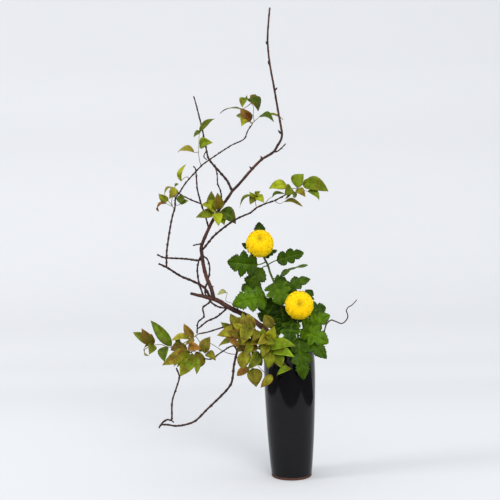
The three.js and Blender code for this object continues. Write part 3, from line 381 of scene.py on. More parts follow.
# The glaze ends in an uneven line a little above the bare clay foot
BARE_BELOW = 0.0066
GLAZED_ABOVE = 0.0074
look = Look("glaze")
glaze = look.material
ripple = look.speckle(22, 2)
pits = look.speckle(700, 2)
edge = look.math("ADD", look.coordinate("Object", 2), look.math("MULTIPLY", ripple, 0.003))
bare = look.spread(edge, BARE_BELOW, GLAZED_ABOVE, 1.0, 0.0)
clay = look.mix("MIX", look.spread(pits, 0.35, 0.7, 0.0, 1.0), rgb(60, 36, 30), rgb(88, 56, 44))
black = look.mix("MIX", look.spread(ripple, 0.3, 0.7, 0.0, 1.0), rgb(6, 6, 8), rgb(11, 10, 12))
look.set({
    "Base Color": look.mix("MIX", bare, black, clay),
    "Roughness": look.spread(bare, 0.0, 1.0, 0.07, 0.8),
    "IOR": 1.31,
})
look.bump(look.math("ADD", ripple, look.math("MULTIPLY", pits, 0.02)), 0.05, 0.002)

look = Look("water")
water = look.material
look.set({"Base Color": (0.72, 0.8, 0.76), "Roughness": 0.03, "IOR": 1.33, "Transmission Weight": 1.0})
look.bump(look.speckle(30, 2), 0.05, 0.001)

# Leaf, stem and petal colours
TINTS = {
    "dark": rgb(54, 76, 12),
    "green": rgb(84, 105, 14),
    "bright": rgb(108, 130, 18),
    "yellow_green": rgb(126, 132, 18),
    "lime": rgb(142, 154, 28),
    "olive": rgb(122, 122, 26),
    "dark_olive": rgb(84, 82, 18),
    "grey_green": rgb(120, 132, 66),
    "red_brown": rgb(112, 64, 32),
    "brown": rgb(110, 90, 26),
    "tan": rgb(164, 142, 60),
    "rust": rgb(124, 76, 26),
    "orange": rgb(140, 104, 28),
    "grey": rgb(130, 128, 84),
    "mum": rgb(54, 80, 2),
    "mum_dark": rgb(34, 56, 3),
    "mum_bright": rgb(74, 104, 6),
    "mum_lit": rgb(46, 68, 0),
    "mum_grey": rgb(68, 90, 20),
    "mum_edge": rgb(30, 52, 8),
}
MUM_STEM_TINT = rgb(64, 86, 22)
MUM_STEM_DARK = rgb(48, 46, 22)
PETAL = rgb(255, 207, 0)
PETAL_LEMON = rgb(255, 224, 26)
PETAL_DEEP = rgb(255, 198, 0)
PETAL_HEART = rgb(150, 122, 0)
BARK = rgb(62, 36, 28)
BARK_PALE = rgb(104, 67, 52)
BARK_DARK = rgb(33, 21, 19)
BUD_TINT = blend(BARK, BARK_DARK, 0.8)
CUT = rgb(176, 132, 92)

# Wood and stems, traced as picture points from the photograph, and given in millimetres inside the vase.
# The stems and shoots have a depth after each point.
MAIN_LINE_TIP = [
    (269.8, 7.7), (268, 27.8), (267.6, 42), (269.5, 62), (274.3, 89), (278.6, 114), (281.4, 129),
    (281.6, 137.8), (277.3, 146), (273.1, 152.3), (261.9, 159.3), (251.4, 169.8), (238.7, 184.5),
    (232.4, 190.8),
]
MAIN_LINE_FOOT = [
    (232.4, 190.8), (226.8, 199.3), (219.8, 208.4), (214, 218), (210, 226), (205, 237), (201.6, 246.3),
    (201.8, 254), (203.7, 266.6), (207.2, 279.2), (211.4, 289), (214.2, 299.5),
]
BASE_BRANCH = [
    (190.5, 293.5), (210, 298), (218.7, 301), (228.3, 307), (237.8, 311.7), (249.3, 317.4), (260.8, 326),
    (272, 336), (281, 350),
]
BASE_BRANCH_IN_VASE = [(-12, 0, 255), (3, 2, 200), (13, 3, 120), (17, 4, FLOOR + GAP + 1.2)]
# Twigs: the traced line, the depth at its end, and the radii at both ends
SIDE_TWIGS = [
    ([(273.1, 152.3), (278, 151), (285.7, 143.8)], -22, 1.4, 0.9),
    ([(210, 297.5), (204.4, 287.7), (191.7, 280.6), (182.6, 277.1), (166.5, 267.3),
      (158.8, 263.8)], -40, 2.6, 1.7),
    ([(201.9, 257.5), (198.7, 260.3), (186.1, 258.9), (163.7, 257.5), (157.4, 254.7)], 66, 2.2, 1.5),
    ([(201.8, 254.4), (198.8, 261), (197.3, 269.4), (198.8, 282), (203.5, 296.4)], 14, 1.6, 1.6),
    ([(202, 255), (207.3, 259.3), (209.6, 267), (208.8, 277), (205, 290), (206, 297)], 14, 1.5, 1.5),
    ([(203, 249.4), (214.2, 235.7), (231, 222.4), (240.8, 216.8), (250.7, 212.6), (256.6, 207.8),
      (265, 203.8), (274.4, 200.7), (288.4, 193), (290.6, 190.6)], -60, 2, 1.1),
    ([(232.2, 191.2), (226.8, 180.3), (212.8, 164.2), (208.6, 158.6), (206.5, 150.2), (201.6, 126.3),
      (195.9, 103.9), (193.8, 96.1)], 60, 2.4, 1),
    ([(222.2, 205.2), (220.5, 190.8), (217.7, 183.8), (217, 174), (214.5, 165)], -14, 1.4, 0.9),
    ([(166.5, 267.3), (166.8, 251), (170, 228.7), (172.8, 214.7), (174.9, 207.6), (175.6, 198),
      (179.1, 193), (186.1, 182.5), (201.8, 165.4), (209.6, 159.6), (231, 145.5), (243.9, 139.1),
      (247.9, 130.5), (252, 124.6)], 18, 1.75, 1),
    ([(208.8, 228.6), (205.8, 217.5), (200.2, 200.7), (197.4, 189.4), (196, 172.6), (195.4, 168.4),
      (193.3, 166.3)], -8, 1.6, 1.1),
    ([(201.2, 203.8), (190.3, 199.5), (179.1, 193.4), (176.3, 189.6)], -12, 1.5, 0.9),
    ([(204.6, 238), (202, 243), (193, 245.5)], 6, 1.4, 1.1),
    ([(206.6, 150.8), (204.2, 154.6), (204.1, 157.4), (206.9, 159.8)], 32, 1, 0.9),
    ([(211, 298.4), (208.7, 303), (202.9, 307.8), (203.9, 316.5), (198.1, 322.2),
      (197, 333.4)], -20, 1.5, 1),
    ([(228.3, 307), (216.8, 316.9), (207.2, 321.2), (199.6, 327.4)], -18, 1.5, 1),
    ([(208, 297.6), (212, 303), (218.7, 306.9), (226, 308.2)], -2, 1.9, 1.5),
]
# Buds of the main lines, each from its foot to its tip
BUDS = [
    ((267.7, 44.6), (265.7, 41.4)), ((269.4, 64.6), (268, 60.8)), ((274.6, 90.5), (277.4, 87.5)),
    ((280.7, 133.5), (278, 130)), ((262.4, 159.4), (260.6, 155.8)), ((251.8, 169.2), (249.4, 166.4)),
    ((211, 288), (213.6, 286)),
]
DROOP_IN_VASE = [(2, -31, FLOOR + GAP + 1), (-8, -31, 120), (-19, -28, 200), (-26, -24, 258)]
DROOP_OUT = [(274, 341), (262, 335.5), (250, 331.5), (240, 329)]
DROOP_SPRAY = [
    (240, 329), (237.8, 325.6), (228.3, 326), (217.8, 328.9), (207.2, 332.2), (198.6, 333.8),
]
LOOP_TWIGS = [
    ([(243, 330), (237.8, 349), (234, 365), (233, 375), (231, 384), (224.5, 392.5), (207, 409.5),
      (195.9, 420.5), (187.9, 424), (177, 426), (166.4, 424.6), (161, 425), (159, 428)], -84, 2, 1.2),
    ([(161, 424.8), (162.9, 422.3), (167.3, 419.6), (171.3, 420), (171.8, 407), (172.7, 399), (178, 383),
      (179.4, 376.5), (176.3, 368)], -74, 1.5, 1),
    ([(171, 419.8), (173.8, 422.4)], -82, 1.1, 0.8),
    ([(237.2, 351), (233.4, 345.8), (222.7, 351.3), (211, 359), (204, 358.6)], -66, 1.2, 0.9),
]
TENDRIL_ROUTE = [
    (356.7, 299.8), (354, 303), (351.3, 305.5), (348.7, 306.8), (347.1, 308.8), (346.4, 311), (347.5, 314),
    (347.8, 317), (346.2, 320.2), (344, 322.5), (341, 323.5), (337.5, 322.2), (334.4, 321), (331.5, 320),
    (328.3, 322), (326.3, 324.5), (325.2, 327.4), (324, 331),
]
TENDRIL_IN_VASE = [
    (57, 38, 305), (40, 30, 292), (28, 25, 276), (20, 22, 240), (13, 22, 120),
    (10, 20, FLOOR + GAP + 0.4),
]
TALL_STEM = [
    (260.4, 248.6, 19), (262.2, 253.2, 20), (264.4, 258.4, 17), (267.9, 265.4, 14), (270, 272.5, 12),
    (273.5, 281, 9), (278, 294, 4), (283, 312, -3), (288, 333, -8),
]
TALL_STEM_IN_VASE = [(8.7, -10, 258), (14, -12, 180), (22, -14, FLOOR + GAP + 0.6)]
SHORT_STEM = [(299.2, 307.2, -13), (298.8, 312, -10), (298.4, 322, -6), (298, 336, -3)]
SHORT_STEM_IN_VASE = [(26.5, 2, 262), (29, 2, 180), (32, 2, FLOOR + GAP + 0.6)]

# Leaves, one row each: foot as x, y and depth, tip as x, y and depth, width, roll, bow, curve, and the
# colours of the blade and of its edge. Shoots: radius and points.
TALL_LEAVES = [
    (262, 252, 28, 258.9, 221.8, 40, 40, 0, 0.1, 0, "mum_dark/mum_edge"),
    (261.4, 252.6, 31, 241.6, 243.4, 32, 22, 10, 0.1, 0, "mum_dark/mum_edge"),
    (264.8, 257.4, 26, 277, 250, 26, 18, 30, 0.1, 0, "mum_dark/mum_edge"),
    (257.6, 264.6, 6, 227.2, 261.6, -6, 58, 8, 0.1, 0, "mum/mum_dark"),
    (262.4, 267.6, 12, 241.6, 291.6, 34, 44, 15, 0.12, 0.05, "mum_grey/mum_dark"),
    (276.2, 260.4, 12, 304, 252.6, 24, 36, -12, 0.08, 0.03, "mum/mum_dark"),
    (280.4, 276.4, 20, 307.4, 264.4, 32, 30, 74, 0.06, 0, "mum_grey/mum"),
    (273.6, 282.8, 6, 283.4, 305, -20, 58, 10, 0.12, 0, "mum/mum_bright"),
    (281, 290.6, 14, 310.6, 278.4, 30, 32, 18, 0.1, 0, "mum/mum_dark"),
    (266.6, 299, 4, 232.6, 304.2, -20, 60, -14, 0.12, -0.04, "mum_bright/mum"),
    (276.4, 299, 10, 260.6, 322, 26, 56, 10, 0.12, 0, "mum_dark/mum"),
    (280.6, 305, 8, 284, 330, 30, 56, -10, 0.12, 0, "mum_dark/mum_edge"),
    (274.4, 281, 8, 286.8, 281.2, 22, 30, 12, 0.12, 0, "mum/mum_dark"),
]
SHORT_LEAVES = [
    (303, 303, 4, 312, 289.6, 10, 34, 10, 0.1, 0, "mum_dark/mum_edge"),
    (305.6, 314, 0, 326, 307, 14, 40, 10, 0.1, 0, "mum_dark/mum"),
    (303, 329, -6, 330, 315, -20, 48, 15, 0.12, 0, "mum_bright/mum_dark"),
    (301, 330, -8, 328.6, 342.4, -34, 54, 10, 0.14, 0, "mum_bright/mum"),
    (301, 336, -14, 326.6, 358.6, -52, 44, 18, 0.14, 0, "mum/mum_dark"),
    (298.4, 340, -52, 303.8, 379.6, -74, 44, 4, 0.14, 0, "mum_lit/mum"),
    (292.4, 322, -20, 289.4, 345, -52, 46, -10, 0.12, 0, "mum_dark/mum_bright"),
    (297.4, 338, -12, 296, 352, -62, 42, 0, 0.12, 0, "mum_dark/mum_edge"),
]
TOP_SHOOTS = [
    (0.9, [(252, 124.6, 18), (253.2, 122.4, 18), (256.6, 119.4, 17), (259.6, 116.6, 16)]),
    (0.7, [(254.2, 121.6, 18), (253.2, 114, 20), (253.5, 107, 21), (249.6, 100.4, 22)]),
]
TOP_LEAVES = [
    (259.6, 117, 16, 274, 121.7, 6, 18, 50, 0.26, 0, "dark/green"),
    (260, 116, 18, 283.2, 119.2, 30, 12, 76, 0.12, 0, "green/olive"),
    (248.6, 98.6, 22, 258.2, 111, 12, 22, 20, 0.12, 0.2, "dark/dark_olive"),
    (252, 101.5, 22, 255.9, 94.6, 36, 15, 15, 0.1, 0, "dark/red_brown"),
    (248, 98.6, 21, 242.4, 107.6, 10, 16, -25, 0.15, -0.18, "green/olive"),
    (247.6, 99.6, 24, 247.2, 94.4, 34, 5, 50, 0.1, 0, "dark/grey_green"),
    (250.4, 121.4, 18, 240.2, 108.2, 8, 22, 10, 0.12, -0.05, "red_brown/brown"),
    (241, 109.6, 26, 220, 113, 34, 9, -78, 0.14, 0, "grey_green/grey"),
    (243.6, 117.6, 26, 236, 115, 42, 10, -30, 0.05, 0, "grey_green/olive"),
    (243.4, 118.8, 13, 241.6, 126, 2, 16, 12, 0.25, 0, "olive/yellow_green"),
]
UPPER_LEFT_SHOOTS = [
    (0.8, [(201.8, 165.4, 1), (200, 162.5, 2), (198.7, 154.6, 6), (198.7, 147, 8), (199.2, 134, 14)]),
]
UPPER_LEFT_LEAVES = [
    (199.8, 132, 14, 214.7, 118.5, 4, 14, 40, 0.13, 0, "green/olive"),
    (200.2, 131.5, 15, 193.6, 137.4, 4, 10, -30, 0.16, 0, "dark/grey_green"),
    (199.6, 146.8, 8, 212.6, 142.8, -4, 20, 15, 0.16, 0.15, "green/yellow_green"),
    (194.4, 152.4, 10, 177.7, 152.2, 20, 16, -50, 0.24, 0, "olive/tan"),
]
CURLED_SHOOTS = [
    (0.8, [(188.8, 178.4, -10), (187.2, 176.9, -12), (184, 178, -14), (181.2, 181, -16)]),
]
CURLED_LEAVES = [
    (181, 181.2, -16, 186, 164.4, -26, 10, 25, 0.12, 0.14, "yellow_green/olive"),
]
LEFT_SHOOTS = [
    (0.9, [(174.5, 209.4, -12), (172.4, 206.2, -18), (170, 203, -22), (168.4, 201.4, -24)]),
    (0.8, [(172.4, 206.2, -18), (171.6, 201, -20), (173.6, 193, -20), (174.6, 188.4, -19)]),
    (0.7, [(172.4, 206.2, -18), (170.4, 205.8, -22), (166.2, 203.4, -26)]),
]
LEFT_LEAVES = [
    (174.4, 187.6, -20, 169.6, 198.6, -36, 17, 15, 0.12, 0, "olive/brown"),
    (175, 188, -18, 174.4, 197.6, -8, 15, -20, 0.12, -0.1, "red_brown/olive"),
    (174, 188, -22, 164.4, 195.8, -30, 10, -68, 0.3, 0, "olive/brown"),
    (168, 200.8, -25, 158.6, 193.6, -34, 15, 20, 0.12, 0, "olive/green"),
    (166, 202.6, -26, 156.2, 208, -34, 10, -60, 0.12, 0, "red_brown/brown"),
    (157.6, 207, -33, 158.8, 211.8, -32, 6, -50, 0.1, 0, "red_brown/brown"),
    (175, 186.6, -19, 179, 184, -14, 7, 50, 0.2, 0, "dark/olive"),
]
LEFT_INNER_SHOOTS = [
    (0.8, [(175.4, 204.8, -11), (177.4, 205.4, -14), (181.6, 203.4, -18)]),
]
LEFT_INNER_LEAVES = [
    (181.6, 203.2, -18, 180.6, 194.8, -4, 16, 10, 0.12, 0, "dark/green"),
    (182, 202.6, -18, 188.4, 200.8, -30, 11, 20, 0.15, 0, "dark/olive"),
    (181, 202.6, -18, 178, 201.8, -34, 11, -20, 0.15, 0, "dark/green"),
]
CENTRE_SHOOTS = [
    (2.2, [(217, 213.4, 13), (216.8, 212.4, 4), (216.7, 212, -2)]),
]
CENTRE_LEAVES = [
    (215.6, 209, 0, 211.3, 191, -8, 20, 10, 0.12, 0.08, "green/olive"),
    (217.2, 209.4, -2, 217.3, 192.6, -18, 22, -15, 0.14, 0, "brown/olive"),
    (215, 211, -2, 201.2, 204.8, -20, 22, -20, 0.16, -0.16, "lime/olive"),
    (214.4, 212.2, 0, 196, 217.2, -12, 19, -20, 0.14, 0.04, "green/brown"),
    (216, 213.2, -2, 218.7, 225.6, -20, 20, 12, 0.14, 0, "lime/yellow_green"),
    (219, 212.4, -1, 235.9, 223.6, -10, 28, 15, 0.16, 0.12, "dark/green"),
    (219.6, 213.8, -2, 224.3, 225, -12, 17, 10, 0.12, 0, "bright/olive"),
    (216, 210.6, 2, 205.6, 213.4, 20, 15, -30, 0.12, 0, "green/olive"),
]
RIGHT_INNER_SHOOTS = [
    (0.8, [(256.6, 207.8, -25), (255.6, 203, -28), (255.8, 196.4, -32)]),
]
RIGHT_INNER_LEAVES = [
    (255.4, 195.6, -32, 239.4, 207, -26, 12, -66, 0.22, 0, "dark/olive"),
    (256, 196, -32, 249.2, 191.8, -46, 10, 30, 0.14, 0, "yellow_green/lime"),
    (256.4, 196, -32, 260.2, 191.2, -42, 12, 30, 0.14, 0, "yellow_green/olive"),
    (255.8, 196.6, -33, 250, 204.4, -46, 16, -20, 0.16, 0, "yellow_green/olive"),
    (256.2, 196.6, -33, 264, 202.6, -44, 16, 25, 0.16, 0, "lime/olive"),
]
RIGHT_SHOOTS = [
    (0.9, [(290.6, 190.6, -60), (292.3, 188.6, -61), (296.7, 188.3, -62), (303, 184.4, -66)]),
    (0.7, [(296.7, 188.3, -62), (302, 189.8, -68), (307.6, 191.3, -72)]),
]
RIGHT_LEAVES = [
    (287.4, 187.2, -60, 269, 188.6, -52, 20, -25, 0.1, -0.12, "lime/yellow_green"),
    (291.4, 188.4, -62, 284.4, 195.6, -78, 21, 15, 0.14, -0.12, "bright/olive"),
    (292.6, 191.6, -65, 294.8, 198, -52, 10, 30, 0.14, 0, "grey_green/green"),
    (291, 190.6, -64, 285, 198.8, -70, 9, 60, 0.05, 0, "dark/olive"),
    (296.7, 187.4, -62, 303.6, 173.9, -58, 24, 10, 0.12, 0.16, "bright/green"),
    (302.8, 184.4, -66, 328.4, 191.2, -72, 27, 15, 0.12, 0.1, "bright/yellow_green"),
    (297, 189.2, -64, 305.4, 196.8, -80, 15, 20, 0.12, 0, "olive/orange"),
    (307.4, 191.2, -72, 319.3, 200.4, -76, 15, 40, 0.2, 0.06, "green/bright"),
    (303, 184, -64, 309.4, 178.2, -46, 4, 40, 0.1, 0, "green/olive"),
]
RIGHT_UPPER_SHOOTS = [
    (0.7, [(265, 203.8, -33), (268.7, 199, -36), (272.4, 196.8, -38)]),
]
RIGHT_UPPER_LEAVES = [
    (272.2, 197, -38, 284.4, 193.8, -42, 14, 62, 0.16, 0, "dark/grey_green"),
]
RIGHT_LOWER_SHOOTS = [
    (0.7, [(274.4, 200.7, -42), (279.5, 203.6, -44), (284.8, 201.4, -48)]),
]
RIGHT_LOWER_LEAVES = [
    (284.8, 201.4, -48, 302.5, 206.6, -56, 13, 52, 0.14, 0, "dark_olive/brown"),
]
SMALL_SHOOTS = [
    (0.7, [(234, 309, 6), (231.6, 303.2, 2), (226, 301, 0), (227.2, 293.4, -4)]),
]
SMALL_LEAVES = [
    (226.8, 292.6, -4, 217.2, 295.2, -14, 11, -40, 0.22, 0, "grey/olive"),
]
LOWER_LEFT_SHOOTS = [
    (1.1, [(198.6, 333.8, -40), (193, 337.6, -46), (186, 342, -52), (179, 345.4, -56), (171.4, 347.2, -58),
      (165.4, 346.3, -60), (161.5, 344.6, -60), (154.2, 345, -62)]),
    (0.9, [(189.6, 339.6, -48), (191, 347, -60), (192.2, 355.4, -68)]),
    (0.9, [(195.6, 335.8, -43), (200.6, 343.6, -52), (205.4, 353.6, -62)]),
]
LOWER_LEFT_LEAVES = [
    (171.4, 346, -58, 150.1, 320.5, -46, 21, 12, 0.1, -0.04, "green/dark"),
    (153.2, 344.8, -62, 141.6, 328.6, -74, 20, 10, 0.12, 0, "dark_olive/red_brown"),
    (152.6, 344.2, -61, 133.2, 332.4, -48, 17, 10, 0.12, -0.06, "dark_olive/green"),
    (153.6, 344, -61, 151.4, 333.6, -40, 8, 20, 0.1, 0, "dark/green"),
    (152, 345, -63, 149.3, 354.4, -84, 17, 15, 0.16, 0, "green/olive"),
    (152.2, 345.6, -62, 144.2, 352, -54, 9, -70, 0.3, 0, "brown/grey"),
    (144.6, 351, -54, 149.4, 355.8, -60, 7, -60, 0.2, 0, "grey/olive"),
    (166.4, 346.6, -60, 164.6, 361.8, -72, 19, -12, 0.14, -0.14, "dark/green"),
    (189.6, 352.4, -64, 162.3, 364.9, -88, 27, -12, 0.12, 0.02, "brown/olive"),
    (186.6, 348, -58, 170.4, 350.4, -38, 19, -15, 0.12, -0.1, "dark_olive/red_brown"),
    (190.4, 354.4, -68, 180.4, 376.4, -86, 28, 10, 0.14, 0, "green/yellow_green"),
    (192, 355.6, -68, 196.6, 374.2, -78, 17, 30, 0.14, 0.06, "green/brown"),
    (200, 352.6, -62, 197.5, 369, -50, 17, 15, 0.14, 0.06, "olive/brown"),
    (185, 352, -66, 173.6, 366.8, -100, 11, 0, 0.1, 0, "yellow_green/olive"),
    (193.6, 336.4, -45, 183.8, 323.7, -40, 15, 10, 0.1, 0.06, "brown/rust"),
    (189.4, 338, -47, 171.2, 339.9, -66, 15, -35, 0.16, 0, "olive/tan"),
    (193.4, 337.6, -47, 185.4, 344.8, -74, 11, 10, 0.1, 0, "tan/brown"),
    (188.4, 346.6, -58, 201.8, 348.8, -78, 17, 10, 0.12, 0, "rust/brown"),
    (204.6, 353.2, -62, 210.2, 336.4, -52, 21, 14, 0.14, 0.08, "dark_olive/brown"),
    (206, 354, -62, 215.8, 360.4, -74, 16, 20, 0.22, 0.06, "olive/brown"),
    (180.4, 345.2, -56, 176.6, 334.6, -40, 10, 20, 0.12, 0, "dark/olive"),
]
FRONT_SHOOTS = [
    (1.1, [(262, 335.5, -42), (258, 338, -56), (255, 343.5, -66), (256.4, 350, -70), (254.6, 362, -72),
      (252.6, 369.4, -72)]),
    (1, [(258, 338, -56), (265, 340.6, -66), (271.4, 347, -74)]),
    (0.9, [(255, 343.5, -66), (249.6, 341, -68), (243.4, 333, -70), (239.6, 327.6, -68)]),
    (0.7, [(271.4, 347, -74), (279, 358, -80), (290, 368.6, -78)]),
    (0.7, [(254.6, 362, -72), (264, 372, -70), (271.8, 375.6, -70)]),
]
FRONT_LEAVES = [
    (236.6, 327, -66, 220.5, 322, -54, 18, 45, 0.12, 0, "green/olive"),
    (240.6, 328.6, -69, 216.8, 335.4, -82, 22, -15, 0.12, 0.05, "olive/brown"),
    (242.4, 331, -70, 230.4, 313.6, -56, 20, 15, 0.12, 0, "olive/brown"),
    (246, 336, -69, 242.8, 312.2, -52, 18, 10, 0.1, 0, "brown/green"),
    (249.6, 341, -68, 235.8, 344.4, -92, 24, -10, 0.14, -0.1, "dark_olive/olive"),
    (243, 334, -70, 227.2, 330.6, -94, 18, -10, 0.12, 0.1, "dark_olive/red_brown"),
    (242, 337, -72, 218.4, 346.2, -62, 15, -35, 0.14, 0, "green/brown"),
    (248, 340, -68, 236.6, 352, -58, 16, 15, 0.12, 0, "brown/olive"),
    (262.6, 339.4, -64, 263, 327.6, -78, 20, 0, 0.12, 0, "olive/bright"),
    (269.6, 340.4, -66, 274.6, 326.2, -80, 21, 5, 0.12, 0, "yellow_green/olive"),
    (258.4, 339, -57, 248.8, 345.4, -88, 16, 0, 0.12, 0, "dark_olive/brown"),
    (268.4, 348, -72, 296, 345.8, -84, 22, 25, 0.12, 0.06, "green/bright"),
    (271.8, 350.6, -75, 294.4, 356.8, -96, 21, 20, 0.14, 0.04, "green/bright"),
    (274.8, 353, -77, 281.4, 368, -86, 22, 5, 0.12, 0.05, "green/olive"),
    (270.8, 352.4, -74, 268.3, 369, -80, 22, -5, 0.12, 0, "yellow_green/green"),
    (291.4, 368.7, -78, 276.8, 375.6, -82, 15, -40, 0.2, 0, "green/bright"),
    (272.2, 375.2, -70, 260.5, 387.6, -78, 16, -10, 0.12, 0.04, "olive/red_brown"),
    (253.4, 368.4, -72, 256.2, 387, -84, 28, 5, 0.12, 0, "olive/brown"),
    (249.4, 368, -71, 236.6, 375.8, -60, 15, -15, 0.14, 0, "red_brown/olive"),
    (248.6, 350.4, -69, 241.8, 369.4, -60, 24, -10, 0.14, -0.04, "olive/brown"),
    (258.6, 352, -71, 247.4, 369.4, -92, 20, 5, 0.12, 0.06, "dark/olive"),
    (256.6, 344.4, -67, 245.2, 353.4, -80, 18, -5, 0.12, 0, "brown/olive"),
    (266.6, 343.6, -68, 262, 358, -88, 19, 0, 0.12, 0, "olive/green"),
    (257, 337, -56, 250.4, 325.6, -70, 16, 10, 0.12, 0, "brown/red_brown"),
]
# Small leaves that fill gaps, too slight for the model's own
LOWER_LEFT_FILL = [
    (189, 353, -70, 177, 367, -92, 13, 0, 0.12, 0, "yellow_green/olive"),
    (193, 354, -64, 190, 371, -84, 14, 8, 0.12, 0, "olive/green"),
    (196, 352, -60, 202, 364, -70, 13, 10, 0.12, 0, "dark_olive/brown"),
    (188, 351, -64, 174, 357, -84, 15, -8, 0.12, 0, "brown/red_brown"),
    (187, 349, -58, 178, 343, -50, 12, 10, 0.12, 0, "dark_olive/red_brown"),
    (199, 351, -60, 206, 345, -52, 10, 10, 0.12, 0, "brown/olive"),
]
FRONT_FILL = [
    (249.4, 324.2, -66, 241.5, 344.5, -92, 26, 0, 0.12, 0, "dark_olive/olive"),
    (226.9, 332.1, -80, 239.4, 348.8, -88, 14, 0, 0.12, 0, "red_brown/brown"),
    (255, 328, -62, 247, 313.5, -50, 16, 10, 0.12, 0, "brown/olive"),
    (259, 331.5, -72, 252, 342, -96, 15, 0, 0.12, 0, "olive/brown"),
    (267.5, 336.4, -74, 257.8, 344.8, -98, 18, 0, 0.12, 0, "brown/olive"),
    (273, 327, -40, 264, 315, -30, 22, 10, 0.12, 0, "dark_olive/brown"),
    (258, 349, -70, 270.5, 343.5, -60, 14, 10, 0.12, 0, "olive/green"),
    (245, 331, -74, 232, 322, -84, 16, 10, 0.12, 0, "olive/brown"),
    # These eight leaves at the back of the spray are dark as painted shade inside it
    (246, 338, -58, 254, 352, -50, 24, -8, 0.12, 0, "dark/dark_olive"),
    (262, 341, -56, 251, 333, -48, 22, 12, 0.12, 0.05, "dark/olive"),
    (268, 344, -62, 279, 335, -52, 20, 8, 0.12, 0, "dark/green"),
    (262, 347, -62, 273, 360, -54, 24, -6, 0.12, 0, "dark_olive/brown"),
    (240, 331, -60, 229, 340, -48, 20, -14, 0.12, 0, "dark_olive/red_brown"),
    (252, 352, -64, 262, 366, -56, 18, 6, 0.14, 0, "dark/olive"),
    (270, 346, -66, 284, 342, -60, 18, 10, 0.14, 0.06, "dark_olive/green"),
    (244, 326, -58, 238, 317, -46, 14, 18, 0.12, 0, "dark_olive/brown"),
    (250, 342, -76, 243, 358, -98, 15, 8, 0.16, 0.05, "green/brown"),
    (263, 338, -70, 276, 344, -100, 16, -12, 0.16, 0, "green/olive"),
]
SHORT_FILL = [
    (300, 312, 0, 284, 325, 12, 40, 5, 0.1, 0, "mum_dark/mum_edge"),
    (294, 318, -4, 270, 333, 6, 44, 8, 0.12, 0, "mum_dark/mum"),
    (302, 299, 8, 284, 291, 16, 36, 8, 0.1, 0, "mum_grey/mum_dark"),
]
SPRAYS = {
    "spray_top": (TOP_SHOOTS, TOP_LEAVES),
    "spray_upper_left": (UPPER_LEFT_SHOOTS, UPPER_LEFT_LEAVES),
    "leaf_curled": (CURLED_SHOOTS, CURLED_LEAVES),
    "spray_left": (LEFT_SHOOTS, LEFT_LEAVES),
    "spray_left_inner": (LEFT_INNER_SHOOTS, LEFT_INNER_LEAVES),
    "spray_centre": (CENTRE_SHOOTS, CENTRE_LEAVES),
    "spray_right_inner": (RIGHT_INNER_SHOOTS, RIGHT_INNER_LEAVES),
    "spray_right": (RIGHT_SHOOTS, RIGHT_LEAVES),
    "leaf_right_upper": (RIGHT_UPPER_SHOOTS, RIGHT_UPPER_LEAVES),
    "leaf_right_lower": (RIGHT_LOWER_SHOOTS, RIGHT_LOWER_LEAVES),
    "leaf_small": (SMALL_SHOOTS, SMALL_LEAVES),
    "spray_lower_left": (LOWER_LEFT_SHOOTS, LOWER_LEFT_LEAVES),
    "spray_front": (FRONT_SHOOTS, FRONT_LEAVES),
}
FILLS = {"spray_front": FRONT_FILL, "spray_lower_left": LOWER_LEFT_FILL, "mum_short": SHORT_FILL}
# The blooms: x, y, depth of the centre, and degrees that the face looks up
TALL_BLOOM = (259.9, 243.7, -6, 24)
SHORT_BLOOM = (299.2, 305.2, -38, 10)


# Places along the traced lines
def route(points, start_depth, end_depth):
    """The line's picture points, with a depth that runs evenly from one end to the other."""
    runs = [0.0]
    for a, b in zip(points, points[1:]):
        runs.append(runs[-1] + math.hypot(b[0] - a[0], b[1] - a[1]))
    change = end_depth - start_depth
    return [(p[0], p[1], start_depth + change * run / runs[-1]) for p, run in zip(points, runs)]


def depth_beside(lines, px, py):
    """The depth of the line that passes nearest to a picture point."""
    best = 1e9
    depth = 0.0
    for line in lines:
        for a, b in zip(line, line[1:]):
            span = (b[0] - a[0]) ** 2 + (b[1] - a[1]) ** 2
            share = min(max(((px - a[0]) * (b[0] - a[0]) + (py - a[1]) * (b[1] - a[1])) / span, 0.0), 1.0)
            gap = math.hypot(px - a[0] - share * (b[0] - a[0]), py - a[1] - share * (b[1] - a[1]))
            if gap < best:
                best = gap
                depth = a[2] + share * (b[2] - a[2])
    return depth


def branched(lines, twigs):
    """The twigs' lines, each from the depth of the wood where it starts to the depth of its end."""
    made = []
    for points, end_depth, _, _ in twigs:
        made.append(route(points, depth_beside(lines + made, *points[0]), end_depth))
    return made


def placed(line):
    return [seen(*p) for p in line]


def inside(points):
    return [Vector(p) for p in points]


def nearest_on(paths, point):
    best = None
    for path in paths:
        for a, b in zip(path, path[1:]):
            step = b - a
            share = min(max((point - a).dot(step) / step.length_squared, 0.0), 1.0)
            near = a + step * share
            if best is None or (near - point).length < (best - point).length:
                best = near
    return best


def taper(points, start, end):
    last = len(points) - 1
    return [start + (end - start) * i / last for i in range(last + 1)]


main_upper = route(MAIN_LINE_TIP, -18, 10)
main_lower = route(MAIN_LINE_FOOT, 10, 12)
main_base = route(BASE_BRANCH, 16, 0)
main_lines = [main_upper, main_lower, main_base]
twig_lines = branched(main_lines, SIDE_TWIGS)
droop_out = route(DROOP_OUT, -36, -50)
droop_spray = route(DROOP_SPRAY, -50, -40)
loop_lines = branched([droop_out, droop_spray], LOOP_TWIGS)
droop_lines = [droop_out, droop_spray] + loop_lines
wood_lines = main_lines + twig_lines + droop_lines

# Wood: how far a knot and its dark ring reach along it, how much its line shakes as a share of its
# radius, and how much thicker than the given radii twigs come out
KNOT_REACH = 2.2
KNOT_RING = 3.0
WANDER = 0.22
TWIG_EXTRA = 0.2
LOOP_EXTRA = 0.5
BUD_OUT = 1.3
BUD_RADIUS = 1.4
LINE_BUD_RADIUS = 2.3
